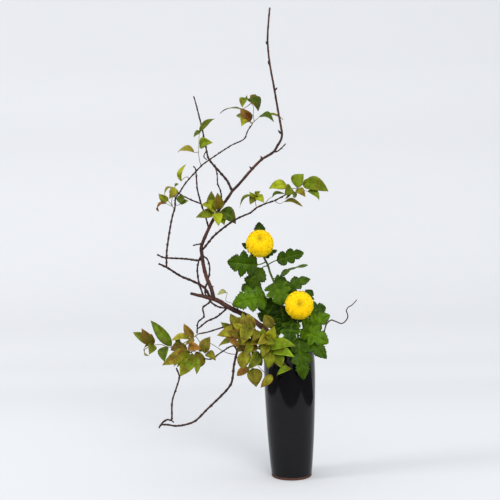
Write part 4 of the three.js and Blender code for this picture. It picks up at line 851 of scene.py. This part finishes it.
# Radii of the thick branch from its outer end on, and of the drooping one from its foot on
BASE_RADII = [2.6, 4.4, 4.8, 5, 5.2, 5.4, 5.6, 5.8, 6]
DROOP_RADII = [3, 3.1, 3.2, 3.2, 3.1, 2.9, 2.7, 2.4]
# The two twigs that hang from the thick branch; the second ends against the first
HANGING_TWIGS = (13, 14)
MEETING_TWIG = 14
MEETING_END = (197.7, 328.4)
# A thread of a twig under the drooping branch
THIN_TWIG = [(236.5, 354.5), (229, 353.5), (222, 350.5), (215, 346), (210.5, 343.4)]
THIN_TWIG_END = -60


def wood(shape, points, radii, sides, seed, step=3.2, knots=26.0, dark=0.0, knot=0.14, budded=False,
         extra=TWIG_EXTRA):
    """A crooked stem: a knot every knots millimetres, a shaken surface and a colour that drifts."""
    path, sizes = smooth_route(points, radii, step)
    run = 0.0
    tints = []
    for i in range(len(path)):
        if i > 0:
            run += (path[i] - path[i - 1]).length
        beat = (run / knots + noise(seed, 3)) % 1.0
        away = min(beat, 1 - beat) * knots
        swell = 1 + knot * math.exp(-((away / KNOT_REACH) ** 2))
        sizes[i] = sizes[i] * swell * (0.96 + 0.1 * noise(i, seed)) + extra
        drift = 0.5 + 0.5 * math.sin(run * 0.05 + seed * 1.7)
        colour = blend(BARK, BARK_PALE, 0.55 * drift)
        tints.append(blend(colour, BARK_DARK, dark + 0.35 * math.exp(-((away / KNOT_RING) ** 2))))
        if 0 < i < len(path) - 1:
            wander = Vector((noise(i, seed + 5) - 0.5, noise(i, seed + 6) - 0.5, noise(i, seed + 7) - 0.5))
            path[i] = path[i] + wander * (WANDER * min(radii))
    tube(shape, path, sizes, sides, tints, rough=0.05, seed=seed)
    if budded:
        between = max(int(2 * knots / step), 3)
        for count, i in enumerate(range(between, len(path) - 2, between)):
            along = (path[i + 1] - path[i]).normalized()
            aside = along.cross(Vector((0, 1, 0))).normalized() * (1 if count % 2 else -1)
            tip = path[i] + aside * (sizes[i] + BUD_OUT) + along * (1.2 + noise(i, seed))
            bud(shape, path[i], tip, BUD_RADIUS)


def bud(shape, foot, tip, radius):
    points = [foot, foot.lerp(tip, 0.45), tip]
    rod(shape, points, [radius * 0.8, radius, radius * 0.25], 0.8, 8, BUD_TINT, rough=0.04, seed=2)


def main_branch():
    shape = Shape()
    upper = placed(main_upper)
    wood(shape, upper, taper(upper, 1.65, 2.9), 12, 1)
    lower = placed(main_lower)
    wood(shape, lower, taper(lower, 2.9, 4.2), 14, 2)
    base = placed(main_base) + inside(BASE_BRANCH_IN_VASE)
    radii = BASE_RADII + BASE_RADII[-1:] * (len(base) - len(BASE_RADII))
    wood(shape, base, radii, 16, 3, step=3.6, knots=34.0)
    for i, (_, _, start, end) in enumerate(SIDE_TWIGS):
        path = placed(twig_lines[i])
        if i == MEETING_TWIG:
            path.append(seen(*MEETING_END, twig_lines[i][-1][2]))
        extra = LOOP_EXTRA if i in HANGING_TWIGS else TWIG_EXTRA
        wood(shape, path, taper(path, start, end), 8, 10 + i, step=2.2, knots=13.0, dark=0.4, knot=0.4,
             budded=True, extra=extra)
    for foot, tip in BUDS:
        depth = depth_beside(main_lines, *foot)
        bud(shape, seen(*foot, depth), seen(*tip, depth - 2), LINE_BUD_RADIUS)
    shape.piece("main_branch_bark", [bark], ["main_branch"])


def drooping_branch():
    shape = Shape()
    wood(shape, inside(DROOP_IN_VASE) + placed(droop_out), DROOP_RADII, 12, 41, step=3.4, knots=30.0)
    tail = placed(droop_spray)
    wood(shape, tail, taper(tail, 2, 1.2), 10, 42, step=2.4, knots=22.0, dark=0.1, knot=0.3)
    for i, (_, _, start, end) in enumerate(LOOP_TWIGS):
        path = placed(loop_lines[i])
        wood(shape, path, taper(path, start, end), 8, 43 + i, step=2.4, knots=15.0, dark=0.4, knot=0.4,
             budded=True, extra=LOOP_EXTRA)
    thin = placed(route(THIN_TWIG, depth_beside(droop_lines, *THIN_TWIG[0]), THIN_TWIG_END))
    wood(shape, thin, taper(thin, 0.6, 0.4), 7, 48, step=2.4, knots=24.0, dark=0.1, knot=0.3)
    shape.piece("drooping_branch_bark", [bark], ["drooping_branch"])


def tendril_twig():
    shape = Shape()
    path = placed(route(TENDRIL_ROUTE, 20, 40)) + inside(TENDRIL_IN_VASE)
    wood(shape, path, taper(path, 0.8, 1.6), 8, 61, step=2.2, knots=19.0, dark=0.3)
    shape.piece("tendril_twig_bark", [bark], ["tendril_twig"])


# Leaves. Each is tried at its depth and moved by each of these bends, and stays where the model's own
# leaf lies closest at these places, given as shares along and across the blade
BENDS = (0, -3, 3, -6, 6, -9, 9, -12, 12, -16, 16)
PROBES = ((0.3, 0.0), (0.5, 0.2), (0.66, -0.2), (0.9, 0.0))
PROBE_FOLD = 0.2
# The number of a leafy piece's second material, which its stems and stalks have
STEM = 1
# Painted shade at a leaf's foot, where the leaves crowd together: how dark the foot is in the dense sprays,
# in the open ones and on the chrysanthemums, and how far along the blade that painted shade reaches
DENSE_FOOT_PAINTED_SHADE = 0.62
OPEN_FOOT_PAINTED_SHADE = 0.9
MUM_FOOT_PAINTED_SHADE = 0.7
PAINTED_SHADE_END = 0.45
SHORTEST_STALK = 0.6
STALK_BEND = 7.0
STALK_STEPS = 6


class Leaf:
    """One row of a leaf table, as a blade with axes along it, to its side and out of its face."""

    def __init__(self, row, bend=0):
        px, py, depth, tip_px, tip_py, tip_depth, self.width, roll, self.bow, self.curve, tints = row
        self.body, self.edge = [TINTS[name] for name in tints.split("/")]
        self.base = seen(px, py, depth + bend)
        span = seen(tip_px, tip_py, tip_depth + bend) - self.base
        self.length = span.length
        self.along = span.normalized()
        flat_side = (EYE - self.base).normalized().cross(self.along).normalized()
        flat_normal = self.along.cross(flat_side)
        roll = math.radians(roll)
        self.side = flat_side * math.cos(roll) - flat_normal * math.sin(roll)
        self.normal = flat_normal * math.cos(roll) + flat_side * math.sin(roll)

    def at(self, t, s, fold, extra=0.0):
        """The point a share t along the blade and s millimetres across it."""
        arch = 4 * max(t, 0.0) * (1 - t) * self.length
        flat = self.base + self.along * (t * self.length) + self.side * (s + self.curve * arch)
        return flat + self.normal * (self.bow * arch + fold * abs(s) + extra)


def settled(row, tree):
    """The row's leaf, moved nearer or farther to where it fits the model's own best."""
    best = None
    for bend in BENDS:
        leaf = Leaf(row, bend)
        away = 0.0
        for t, s in PROBES:
            away += tree.find_nearest(leaf.at(t, s * leaf.width, PROBE_FOLD) * MM)[3]
        if best is None or away < best[0] - 1e-5:
            best = (away, leaf)
    return best[1]


def leaves_of(node, rows):
    """The leaves of a node, first those that the model has too and then those that fill gaps."""
    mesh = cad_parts[node].data
    corners = [tuple(p.vertices) for p in mesh.polygons]
    tree = BVHTree.FromPolygons([v.co.copy() for v in mesh.vertices], corners)
    return [settled(row, tree) for row in rows] + [Leaf(row) for row in FILLS.get(node, [])]


def stalk(shape, start, leaf, radius, tint, tip_tint):
    """The bent stalk from a shoot to a leaf's foot, where there is room for one."""
    reach = (leaf.base - start).length
    if reach < SHORTEST_STALK:
        return
    bend = leaf.base - leaf.along * min(0.45 * reach, STALK_BEND)
    end = leaf.base + leaf.along * radius
    shares = [k / STALK_STEPS for k in range(STALK_STEPS + 1)]
    path = [start * (1 - t) ** 2 + bend * (2 * t * (1 - t)) + end * t**2 for t in shares]
    tints = [blend(tint, tip_tint, t) for t in shares]
    tube(shape, path, taper(path, radius * 1.15, radius * 0.8), 7, tints, STEM)


def closed_sheet(shape, grid, normal, thickness):
    """A thin closed sheet over rows of cells: a point, the tints of both faces, a place and a vein."""
    count = len(grid)
    width = len(grid[0])
    cells = [cell for row in grid for cell in row]
    size = len(cells)
    points = [cell[0] + normal * thickness for cell in cells]
    points += [cell[0] - normal * thickness for cell in cells]
    faces = []
    for i in range(count - 1):
        for j in range(width - 1):
            a = i * width + j
            faces.append((a, a + 1, a + width + 1, a + width))
            faces.append((size + a, size + a + width, size + a + width + 1, size + a + 1))
    rim = list(range(width))
    rim += [i * width + width - 1 for i in range(1, count)]
    rim += [(count - 1) * width + j for j in range(width - 2, -1, -1)]
    rim += [i * width for i in range(count - 2, 0, -1)]
    for a, b in zip(rim, rim[1:] + rim[:1]):
        faces.append((size + a, size + b, b, a))
    tints = [cell[1] for cell in cells] + [cell[2] for cell in cells]
    veins = [cell[4] for cell in cells] + [cell[4] * 0.8 for cell in cells]
    shape.add(points, faces, tints, [cell[3] for cell in cells] * 2, veins)


# Painted shade that darkens a leaf towards its foot
def painted_foot_shade(t, painted_shade_tone):
    return painted_shade_tone + (1 - painted_shade_tone) * min(t / PAINTED_SHADE_END, 1.0)


def underside(colour, lighter, greys, share):
    """The paler and greyer colour of a leaf's back."""
    grey = sum(colour) / 3
    return blend(tuple(c * lighter for c in colour), tuple(grey * g for g in greys), share)


# The shrub's oval leaves: rows along, columns across as shares of the half width, and how the width grows
# from the foot and falls to the tip
OVAL_ROWS = 16
OVAL_COLUMNS = (-1.0, -0.62, -0.28, -0.06, 0.0, 0.06, 0.28, 0.62, 1.0)
OVAL_ROOT = 0.62
OVAL_TIP = 1.02
OVAL_WIDEST = OVAL_ROOT / (OVAL_ROOT + OVAL_TIP)
OVAL_HALF = 0.57
OVAL_FOLD = 0.4
OVAL_WAVE = 0.028
OVAL_CURL = 0.05
OVAL_QUILT = 0.012
OVAL_THICKNESS = 0.22
TOOTH = 0.035


def oval_half(t):
    return OVAL_HALF * (t / OVAL_WIDEST) ** OVAL_ROOT * ((1 - t) / (1 - OVAL_WIDEST)) ** OVAL_TIP


def oval_leaf(shape, leaf, start, seed, painted_shade_tone):
    grid = []
    turn = noise(seed, 21) * 6.28
    for i in range(OVAL_ROWS + 1):
        t = i / OVAL_ROWS
        half = max(leaf.width * oval_half(t), 0.15 + 0.45 * (1 - t))
        teeth = 1 + TOOTH * (i % 2) * (1 if 0.15 < t < 0.9 else 0)
        row = []
        for u in OVAL_COLUMNS:
            away = abs(u)
            wave = OVAL_WAVE * leaf.length * u * u * math.sin(7.5 * t + turn + (1.2 if u > 0 else 0.0))
            curl = -OVAL_CURL * leaf.length * t**4 * noise(seed, 22)
            ripple = math.sin(t * SIDE_VEINS - away * VEIN_SLOPE)
            quilt = OVAL_QUILT * leaf.width * ripple * (1 - away) * away * 4
            point = leaf.at(t, half * u * teeth, OVAL_FOLD, wave + curl + quilt)
            toward = 0.75 * away**3 + 0.55 * t**3 + 0.5 * (noise(seed * 3 + i // 3, 23) - 0.45)
            # A random brightness for each leaf, with painted shade towards its foot
            light = (0.56 + 0.78 * noise(seed, 24)) * painted_foot_shade(t, painted_shade_tone)
            colour = tuple(c * light for c in blend(leaf.body, leaf.edge, toward))
            back = underside(colour, 1.25, (1.5, 1.6, 1.2), 0.45)
            row.append((point, colour, back, (0.5 + 0.5 * u, t), 1.0 if u == 0 else 0.0))
        grid.append(row)
    closed_sheet(shape, grid, leaf.normal, OVAL_THICKNESS)
    tint = blend(BARK_PALE, leaf.edge, 0.35)
    stalk(shape, start, leaf, PETIOLE, tint, blend(tint, leaf.body, 0.6))


def leafy_spray(node, shoots, rows):
    shape = Shape()
    paths = []
    for k, (radius, points) in enumerate(shoots):
        path = placed(points)
        if k == 0:
            px, py, _ = points[0]
            path[0] = seen(px, py, depth_beside(wood_lines, px, py))
        paths.append(path)
        smooth, sizes = smooth_route(path, taper(path, radius, radius * 0.65), 2.4)
        count = len(smooth)
        shades = [blend(BARK_PALE, TINTS["olive"], 0.25 + 0.5 * i / count) for i in range(count)]
        tube(shape, smooth, sizes, 8, shades, STEM, rough=0.05, seed=70 + k)
    # Leaves in the dense sprays get deeper painted shade at their feet
    painted_shade_tone = DENSE_FOOT_PAINTED_SHADE if node in FILLS else OPEN_FOOT_PAINTED_SHADE
    for i, leaf in enumerate(leaves_of(node, rows)):
        oval_leaf(shape, leaf, nearest_on(paths, leaf.base), i + 17 * len(rows), painted_shade_tone)
    shape.piece(node + "_leaves", [shrub_leaf, bark], [node])


# The chrysanthemum's leaves: half of the outline, as t along and s across, and the rows that end on a
# lobe's tip and carry a vein
LOBED_HALF = [
    (0.0, 0.03), (0.03, 0.12), (0.05, 0.24), (0.09, 0.3), (0.1, 0.38), (0.15, 0.39), (0.19, 0.48),
    (0.23, 0.435), (0.28, 0.47), (0.295, 0.4), (0.325, 0.37), (0.34, 0.3), (0.355, 0.25), (0.37, 0.29),
    (0.38, 0.38), (0.43, 0.41), (0.45, 0.49), (0.49, 0.47), (0.54, 0.53), (0.565, 0.46), (0.6, 0.44),
    (0.62, 0.36), (0.635, 0.29), (0.65, 0.26), (0.665, 0.28), (0.69, 0.33), (0.73, 0.31), (0.76, 0.36),
    (0.785, 0.29), (0.83, 0.27), (0.85, 0.21), (0.88, 0.235), (0.905, 0.165), (0.94, 0.125), (0.965, 0.1),
    (1.0, 0.0),
]
LOBE_VEINS = (6, 18, 27)
LOBE_STEPS = 6
LOBED_FOLD = 0.14
LOBED_LIFT = 0.03
LOBED_WAVE = 0.035
LOBED_CURL = 0.04
LOBED_THICKNESS = 0.25


def lobed_leaf(shape, leaf, start, seed):
    length = leaf.length
    turn = noise(seed, 31) * 6.28
    for side in (-1, 1):
        grid = []
        for i, (t1, s1) in enumerate(LOBED_HALF):
            t0 = t1 * 0.9 - 0.04 * math.sin(math.pi * t1)
            t0 = max(t0, 0.0) if i < len(LOBED_HALF) - 1 else 1.0
            vein = max(math.exp(-((i - k) ** 2) * 0.9) for k in LOBE_VEINS)
            scale = 1 + 0.09 * (noise(seed * 7 + i, 32) - 0.5)
            row = []
            for j in range(LOBE_STEPS + 1):
                share = j / LOBE_STEPS
                t = t0 + (t1 - t0) * share**1.15
                lift = LOBED_LIFT * leaf.width * math.sin(math.pi * share) * (1 - 1.7 * vein)
                wave = LOBED_WAVE * length * share**2 * math.sin(9 * t1 + turn + side)
                s = side * s1 * leaf.width * share * scale
                point = leaf.at(t, s, LOBED_FOLD, lift + wave - LOBED_CURL * length * t**3)
                toward = 0.85 * share**4 + 0.35 * (noise(seed + i // 4, 33) - 0.4)
                colour = blend(leaf.body, leaf.edge, toward)
                # Painted shade towards the leaf's foot
                colour = tuple(c * painted_foot_shade(t, MUM_FOOT_PAINTED_SHADE) for c in colour)
                back = underside(colour, 1.4, (1.3, 1.55, 1.2), 0.5)
                ridge = 1.0 if j == 0 else 0.75 * max(vein - 0.35, 0.0) * (1 - share)
                row.append((point, colour, back, (0.5 + 0.5 * s1 * side * share, t), ridge))
            grid.append(row[::side])
        closed_sheet(shape, grid, leaf.normal, LOBED_THICKNESS)
    tint = blend(leaf.body, TINTS["mum_bright"], 0.4)
    stalk(shape, start, leaf, MUM_PETIOLE, tint, blend(leaf.body, leaf.edge, 0.2))


def bloom_places(px, py, depth, tilt):
    tilt = math.radians(tilt)
    return seen(px, py, depth), Vector((0, -math.cos(tilt), math.sin(tilt)))


# Under a bloom, as shares of its radius: how far below its centre the stem ends, and the green cup's
# upper points and radii. Then the scales round the cup: how many in a ring, where they start, and how
# far out and how far below the centre each ring ends, and a scale's radii and bulge in millimetres
STEM_TOP = 1.08
CUP_POINTS = (0.9, 0.74)
CUP_RADII = (0.3, 0.4)
SCALES = 12
SCALE_DOWN = 0.93
SCALE_OUT = 0.2
SCALE_RINGS = ((0.54, 0.74), (0.48, 0.86))
SCALE_RADII = [1.2, 2.4, 0.4]
SCALE_BULGE = 1.6


def mum(node, stem, in_vase, bloom, rows):
    shape = Shape()
    centre, axis = bloom_places(*bloom)
    path = placed(stem)[1:]
    foot = centre - axis * BLOOM_RADIUS * STEM_TOP
    whole = [foot] + path + inside(in_vase)
    smooth, sizes = smooth_route(whole, [MUM_STEM] * len(whole), 3.5)
    shades = []
    for i in range(len(smooth)):
        sizes[i] *= 0.92 + 0.08 * noise(i // 3, 51)
        shades.append(blend(MUM_STEM_TINT, MUM_STEM_DARK, 0.9 * noise(i // 5, 52)))
    tube(shape, smooth, sizes, 14, shades, STEM, rough=0.02, seed=53, ridges=0.05)
    cup = [foot - axis * 1.0, foot + axis * 2.4]
    cup += [centre - axis * BLOOM_RADIUS * down for down in CUP_POINTS]
    cup_radii = [MUM_STEM * 0.9, MUM_STEM * 1.7] + [BLOOM_RADIUS * share for share in CUP_RADII]
    rod(shape, cup, cup_radii, 1.4, 18, MUM_STEM_TINT, material=STEM, rough=0.02, seed=54)
    beside = axis.cross(Vector((1, 0, 0))).normalized()
    across = axis.cross(beside)
    for ring, (reach, down) in enumerate(SCALE_RINGS):
        for k in range(SCALES):
            angle = 2 * math.pi * (k + 0.5 * ring) / SCALES
            out = across * math.cos(angle) + beside * math.sin(angle)
            root = centre - axis * BLOOM_RADIUS * SCALE_DOWN + out * BLOOM_RADIUS * SCALE_OUT
            tip = centre - axis * BLOOM_RADIUS * down + out * BLOOM_RADIUS * reach
            middle = root.lerp(tip, 0.5) + (out - axis * 0.6) * SCALE_BULGE
            rod(shape, [root, middle, tip], SCALE_RADII, 1.6, 6, MUM_STEM_TINT, material=STEM)
    for i, leaf in enumerate(leaves_of(node, rows)):
        lobed_leaf(shape, leaf, nearest_on([path], leaf.base), i * 5 + len(rows))
    shape.piece(node + "_leaves", [mum_leaf, green_stem], [node])


# The pompon blooms: small scooped florets in a golden-angle spiral, bent in over a hidden core. Angles
# from the face's centre say how far round the florets go, how far the dark heart and the dimple reach,
# and where the paler lemon towards the rim starts and how slowly it comes in. That lemon rim is partly
# the outer florets' paler colour and partly painted light that brightens the bloom's edge
FLORETS = 340
GOLDEN = math.pi * (3 - math.sqrt(5))
COVER = math.radians(152)
HEART_SPREAD = 0.3
DIMPLE_SPREAD = 0.34
DIMPLE = 0.2
LIT_RIM_FROM = 0.85
LIT_RIM_OVER = 0.55
CORE = 0.965
CORE_SIDES = 20
CORE_STEPS = 12
FLORET_HALF = 4.3
FLORET_LIFT = 0.45
FLORET_THICKNESS = 0.16
# Rows of a floret: share along it, how far back it bends, how far out it stands, and its width
FLORET_ROWS = ((0.0, 0.26, 0.935, 0.6), (0.22, 0.25, 0.948, 0.85), (0.45, 0.18, 0.963, 1.0),
               (0.66, 0.1, 0.975, 1.05), (0.84, 0.0, 0.985, 0.95), (0.95, -0.08, 0.99, 0.7),
               (1.0, -0.13, 0.992, 0.3))


def dimpled(polar):
    return 1 - DIMPLE * math.exp(-((polar / DIMPLE_SPREAD) ** 2))


def heart(polar):
    return math.exp(-((polar / HEART_SPREAD) ** 2))


def pompon(node, bloom):
    shape = Shape()
    centre, axis = bloom_places(*bloom)
    side = Vector((1, 0, 0))
    up = axis.cross(side).normalized()
    points = []
    tints = []
    for i in range(CORE_STEPS + 1):
        polar = math.pi * i / CORE_STEPS
        reach = BLOOM_RADIUS * CORE * dimpled(polar)
        tints += [blend(PETAL_LEMON, PETAL_HEART, heart(polar) * 0.85)] * CORE_SIDES
        for k in range(CORE_SIDES):
            angle = 2 * math.pi * k / CORE_SIDES
            out = side * math.cos(angle) + up * math.sin(angle)
            points.append(centre + (axis * math.cos(polar) + out * max(math.sin(polar), 0.002)) * reach)
    faces = [(a, d, c, b) for a, b, c, d in bands(CORE_STEPS + 1, CORE_SIDES)]
    shape.add(points, faces, tints, [(0.5, 0.0)] * len(points))
    for index in range(FLORETS):
        floret(shape, centre, axis, side, up, index)
    shape.piece(node + "_petals", [petal], [node])


def floret(shape, centre, axis, side, up, index):
    share = (index + 0.5) / FLORETS
    polar = math.acos(1 - share * (1 - math.cos(COVER)))
    turn = index * GOLDEN
    around = side * math.cos(turn) + up * math.sin(turn)
    across = axis.cross(around)
    grown = 0.5 + 0.5 * min(polar / 0.8, 1.0)
    reach = BLOOM_RADIUS * dimpled(polar) * (0.985 + 0.05 * noise(index, 1))
    half = FLORET_HALF * grown * (0.9 + 0.2 * noise(index, 2))
    # How far a floret lies in the pale rim, which is partly painted light on the bloom's edge
    lit_rim = min(max((polar - LIT_RIM_FROM) / LIT_RIM_OVER, 0.0), 1.0)
    tilt = 0.12 * (noise(index, 3) - 0.5)
    grid = []
    for t, back, out, wide in FLORET_ROWS:
        angle = polar + back * grown
        middle = centre + (axis * math.cos(angle) + around * math.sin(angle)) * (reach * out)
        outward = (middle - centre).normalized()
        row = []
        for j in range(-2, 3):
            u = j / 2
            lift = FLORET_LIFT * grown * abs(u) ** 1.6 * (0.4 + t)
            point = middle + (across + outward * tilt) * (u * half * wide) + outward * (lift - 0.3 * grown)
            colour = blend(PETAL_DEEP, PETAL, 0.55 + 0.9 * t)
            # Paler lemon towards the tips, and over the rim as partly painted light
            colour = blend(colour, PETAL_LEMON, 0.25 * t * t * (0.5 + abs(u) * 0.5) + 0.85 * lit_rim)
            colour = blend(colour, PETAL_HEART, heart(polar) * 0.75)
            row.append((point, colour, blend(colour, PETAL_LEMON, 0.25), (0.5 + 0.5 * u, t), 0.0))
        grid.append(row)
    normal = (axis * math.cos(polar) + around * math.sin(polar)).normalized()
    closed_sheet(shape, grid, normal, FLORET_THICKNESS)


# The vase's profile as radius and height: foot, outer wall, lip with the inner wall and the floor
VASE_SIDES = 112
VASE_FOOT = [(FOOT_RADIUS - 1.6, 0.0), (FOOT_RADIUS - 0.5, 0.35)]
VASE_WALL = [
    (FOOT_RADIUS, 1.2), (44.0, 3.6), (44.7, 10.0), (46.8, 30.0), (50.9, 84.0), (53.9, 143.0), (55.7, 192.0),
    (WIDEST_RADIUS, 225.0), (55.9, 253.0), (54.6, 268.0), (53.6, 274.0),
]
VASE_LIP = [
    (LIP_RADIUS + 0.9, 278.2), (LIP_RADIUS - 0.4, 279.7), (LIP_RADIUS - 1.6, VASE_HEIGHT),
    (MOUTH_RADIUS + 1.4, 279.4), (MOUTH_RADIUS + 0.6, 277.8), (MOUTH_RADIUS + 0.9, 270.0),
    (MOUTH_RADIUS + 1.6, 262.0), (WIDEST_RADIUS - WALL, 225.0), (52.6 - WALL, 143.0), (41.0, 24.0),
    (37.0, FLOOR), (0.4, FLOOR),
]
GLAZE_TINT = (0.01, 0.01, 0.01)


def vase():
    shape = Shape()
    wall, _ = smooth_route([Vector((r, 0.0, z)) for r, z in VASE_WALL], [1.0] * len(VASE_WALL), 9.0)
    profile = [(0.4, 0.0)] + VASE_FOOT + [(p.x, p.z) for p in wall] + VASE_LIP
    rings = len(profile)
    points = []
    places = []
    for i, (r, z) in enumerate(profile):
        for k in range(VASE_SIDES):
            angle = 2 * math.pi * k / VASE_SIDES
            points.append(Vector((math.cos(angle) * r, math.sin(angle) * r, z)))
            places.append((k / VASE_SIDES, i / rings))
    faces = bands(rings, VASE_SIDES)
    faces.append(tuple(range(VASE_SIDES - 1, -1, -1)))
    faces.append(tuple((rings - 1) * VASE_SIDES + k for k in range(VASE_SIDES)))
    shape.add(points, faces, [GLAZE_TINT] * len(points), places)
    shape.piece("vase_glazed", [glaze], ["vase"])


def crossbar(node):
    """A round stick with pale cut ends, as long as the model's own."""
    low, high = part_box(node)
    middle = (low + high) / 2 / MM
    size = (high - low) / MM
    along = Vector((1, 0, 0)) if size.x > size.y else Vector((0, 1, 0))
    half = max(size.x, size.y) / 2 - 0.1
    points = [middle + along * run for run in (-half, -(half - 1), 0, half - 1, half)]
    radii = [CROSSBAR_RADIUS * share for share in (0.94, 1, 0.96, 1, 0.94)]
    path, sizes = smooth_route(points, radii, 3.0)
    tints = [CUT] + [BARK_PALE] * (len(path) - 2) + [CUT]
    shape = Shape()
    tube(shape, path, sizes, 18, tints, rough=0.03, seed=81)
    shape.piece(node + "_stick", [bark], [node])


vase()
crossbar("crossbar_lower")
crossbar("crossbar_upper")
water_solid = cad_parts["water"]
water_solid.data.materials.clear()
water_solid.data.materials.append(water)
main_branch()
drooping_branch()
tendril_twig()
for node, (shoots, rows) in SPRAYS.items():
    leafy_spray(node, shoots, rows)
mum("mum_tall", TALL_STEM, TALL_STEM_IN_VASE, TALL_BLOOM, TALL_LEAVES)
mum("mum_short", SHORT_STEM, SHORT_STEM_IN_VASE, SHORT_BLOOM, SHORT_LEAVES)
pompon("mum_tall_bloom", TALL_BLOOM)
pompon("mum_short_bloom", SHORT_BLOOM)

# Floor and backdrop, one seamless sweep in metres
PAPER_FRONT = -0.62
TABLE_LEFT = -0.83
TABLE_RIGHT = 0.67
TABLE_BACK = 0.5
PAPER_HALF = 4.5
PAPER_TOP = 4.2
CURVE_START = 1.1
CURVE_RADIUS = 1.5
CURVE_STEPS = 20
# The paper's tone at each share of the span on the next line, by its height and a little of its distance:
# painted light and shade, brightest on the floor, darker up the curve and the wall, and a little paler again
# at the top
PAINTED_FALLOFF_SPAN = 1.6
PAINTED_FALLOFF_BY_DISTANCE = 0.06
PAINTED_FALLOFF = ((0.0, 1.04), (0.015, 1.03), (0.045, 0.96), (0.09, 0.88), (0.19, 0.8), (0.75, 0.81), (1.0, 0.87))
ROOM_HALF = 9
ROOM_BACK = 4
ROOM_FLOOR = -0.75

sweep = [(TABLE_BACK, 0.0), (CURVE_START, 0.0)]
for i in range(1, CURVE_STEPS + 1):
    angle = math.pi / 2 * i / CURVE_STEPS
    sweep.append((CURVE_START + CURVE_RADIUS * math.sin(angle), CURVE_RADIUS * (1 - math.cos(angle))))
sweep.append((CURVE_START + CURVE_RADIUS, PAPER_TOP))
stage_mesh = bpy.data.meshes.new("sweep")
stage_points = [(x, y, z) for y, z in sweep for x in (-PAPER_HALF, PAPER_HALF)]
stage_faces = [(2 * i, 2 * i + 1, 2 * i + 3, 2 * i + 2) for i in range(len(sweep) - 1)]
table_first = len(stage_points)
stage_points += [(x, y, 0.0) for y in (PAPER_FRONT, TABLE_BACK) for x in (TABLE_LEFT, TABLE_RIGHT)]
stage_faces.append((table_first, table_first + 1, table_first + 3, table_first + 2))
stage_mesh.from_pydata(stage_points, [], stage_faces)
stage_mesh.polygons.foreach_set("use_smooth", [True] * len(stage_mesh.polygons))
look = Look("backdrop")
haze = look.speckle(0.9, 1)
distance = look.math("MULTIPLY", look.coordinate("Object", 1), PAINTED_FALLOFF_BY_DISTANCE)
climb = look.math("ADD", look.coordinate("Object", 2), distance)
# Painted light and shade over the paper, from the tones listed above
painted_falloff = look.add("ValToRGB", {0: look.spread(climb, 0.0, PAINTED_FALLOFF_SPAN, 0.0, 1.0)})
ramp = painted_falloff.node.color_ramp
ramp.interpolation = "EASE"
for place, tone in PAINTED_FALLOFF:
    stop = ramp.elements[0] if place == 0 else ramp.elements[-1] if place == 1 else ramp.elements.new(place)
    stop.color = (tone, tone, tone, 1.0)
plain = look.mix("MIX", haze, rgb(199, 200, 202), rgb(202, 203, 205))
# The paper's colour with the painted light and shade
painted_light_tone = look.mix("MULTIPLY", 1.0, plain, painted_falloff)
look.set({"Base Color": painted_light_tone, "Roughness": 0.9, "Specular IOR Level": 0.1})
stage_mesh.materials.append(look.material)
stage = put("sweep", stage_mesh)

# The dim room beyond the paper's front edge
room_mesh = bpy.data.meshes.new("room_floor")
room_corners = [
    (-ROOM_HALF, -ROOM_HALF, ROOM_FLOOR), (ROOM_HALF, -ROOM_HALF, ROOM_FLOOR),
    (ROOM_HALF, ROOM_BACK, ROOM_FLOOR), (-ROOM_HALF, ROOM_BACK, ROOM_FLOOR),
]
room_mesh.from_pydata(room_corners, [], [(0, 1, 2, 3)])
look = Look("carpet")
weave = look.mix("MIX", look.speckle(40, 3), rgb(70, 70, 72), rgb(84, 83, 82))
look.set({"Base Color": weave, "Roughness": 0.95})
room_mesh.materials.append(look.material)
room = put("room_floor", room_mesh)

# Soft studio light: a pale surround, a large lamp on the left and a soft one in front on the right
world = bpy.data.worlds.new("studio")
world.use_nodes = True
surround = world.node_tree.nodes["Background"].inputs
surround[0].default_value = (0.95, 0.97, 1.0, 1.0)
surround[1].default_value = 1.12
bpy.context.scene.world = world
LAMP_TARGET = Vector((0.0, 0.0, 0.2))
LEFT_PLACE = (-12.6, -3.45, 6.95)
LEFT_POWER = 765.0
LEFT_SIDE = 3.9
FRONT_PLACE = (0.85, -2.75, 1.5)
FRONT_POWER = 2.1
FRONT_WIDTH = 34


def lamp(name, kind, place, power):
    data = bpy.data.lights.new(name, kind)
    data.energy = power
    made = put(name, data)
    made.location = place
    made.rotation_euler = (LAMP_TARGET - Vector(place)).to_track_quat("-Z", "Y").to_euler()
    return data


left = lamp("left", "AREA", LEFT_PLACE, LEFT_POWER)
left.shape = "RECTANGLE"
left.size = LEFT_SIDE
left.size_y = LEFT_SIDE
front = lamp("front", "SUN", FRONT_PLACE, FRONT_POWER)
front.angle = math.radians(FRONT_WIDTH)
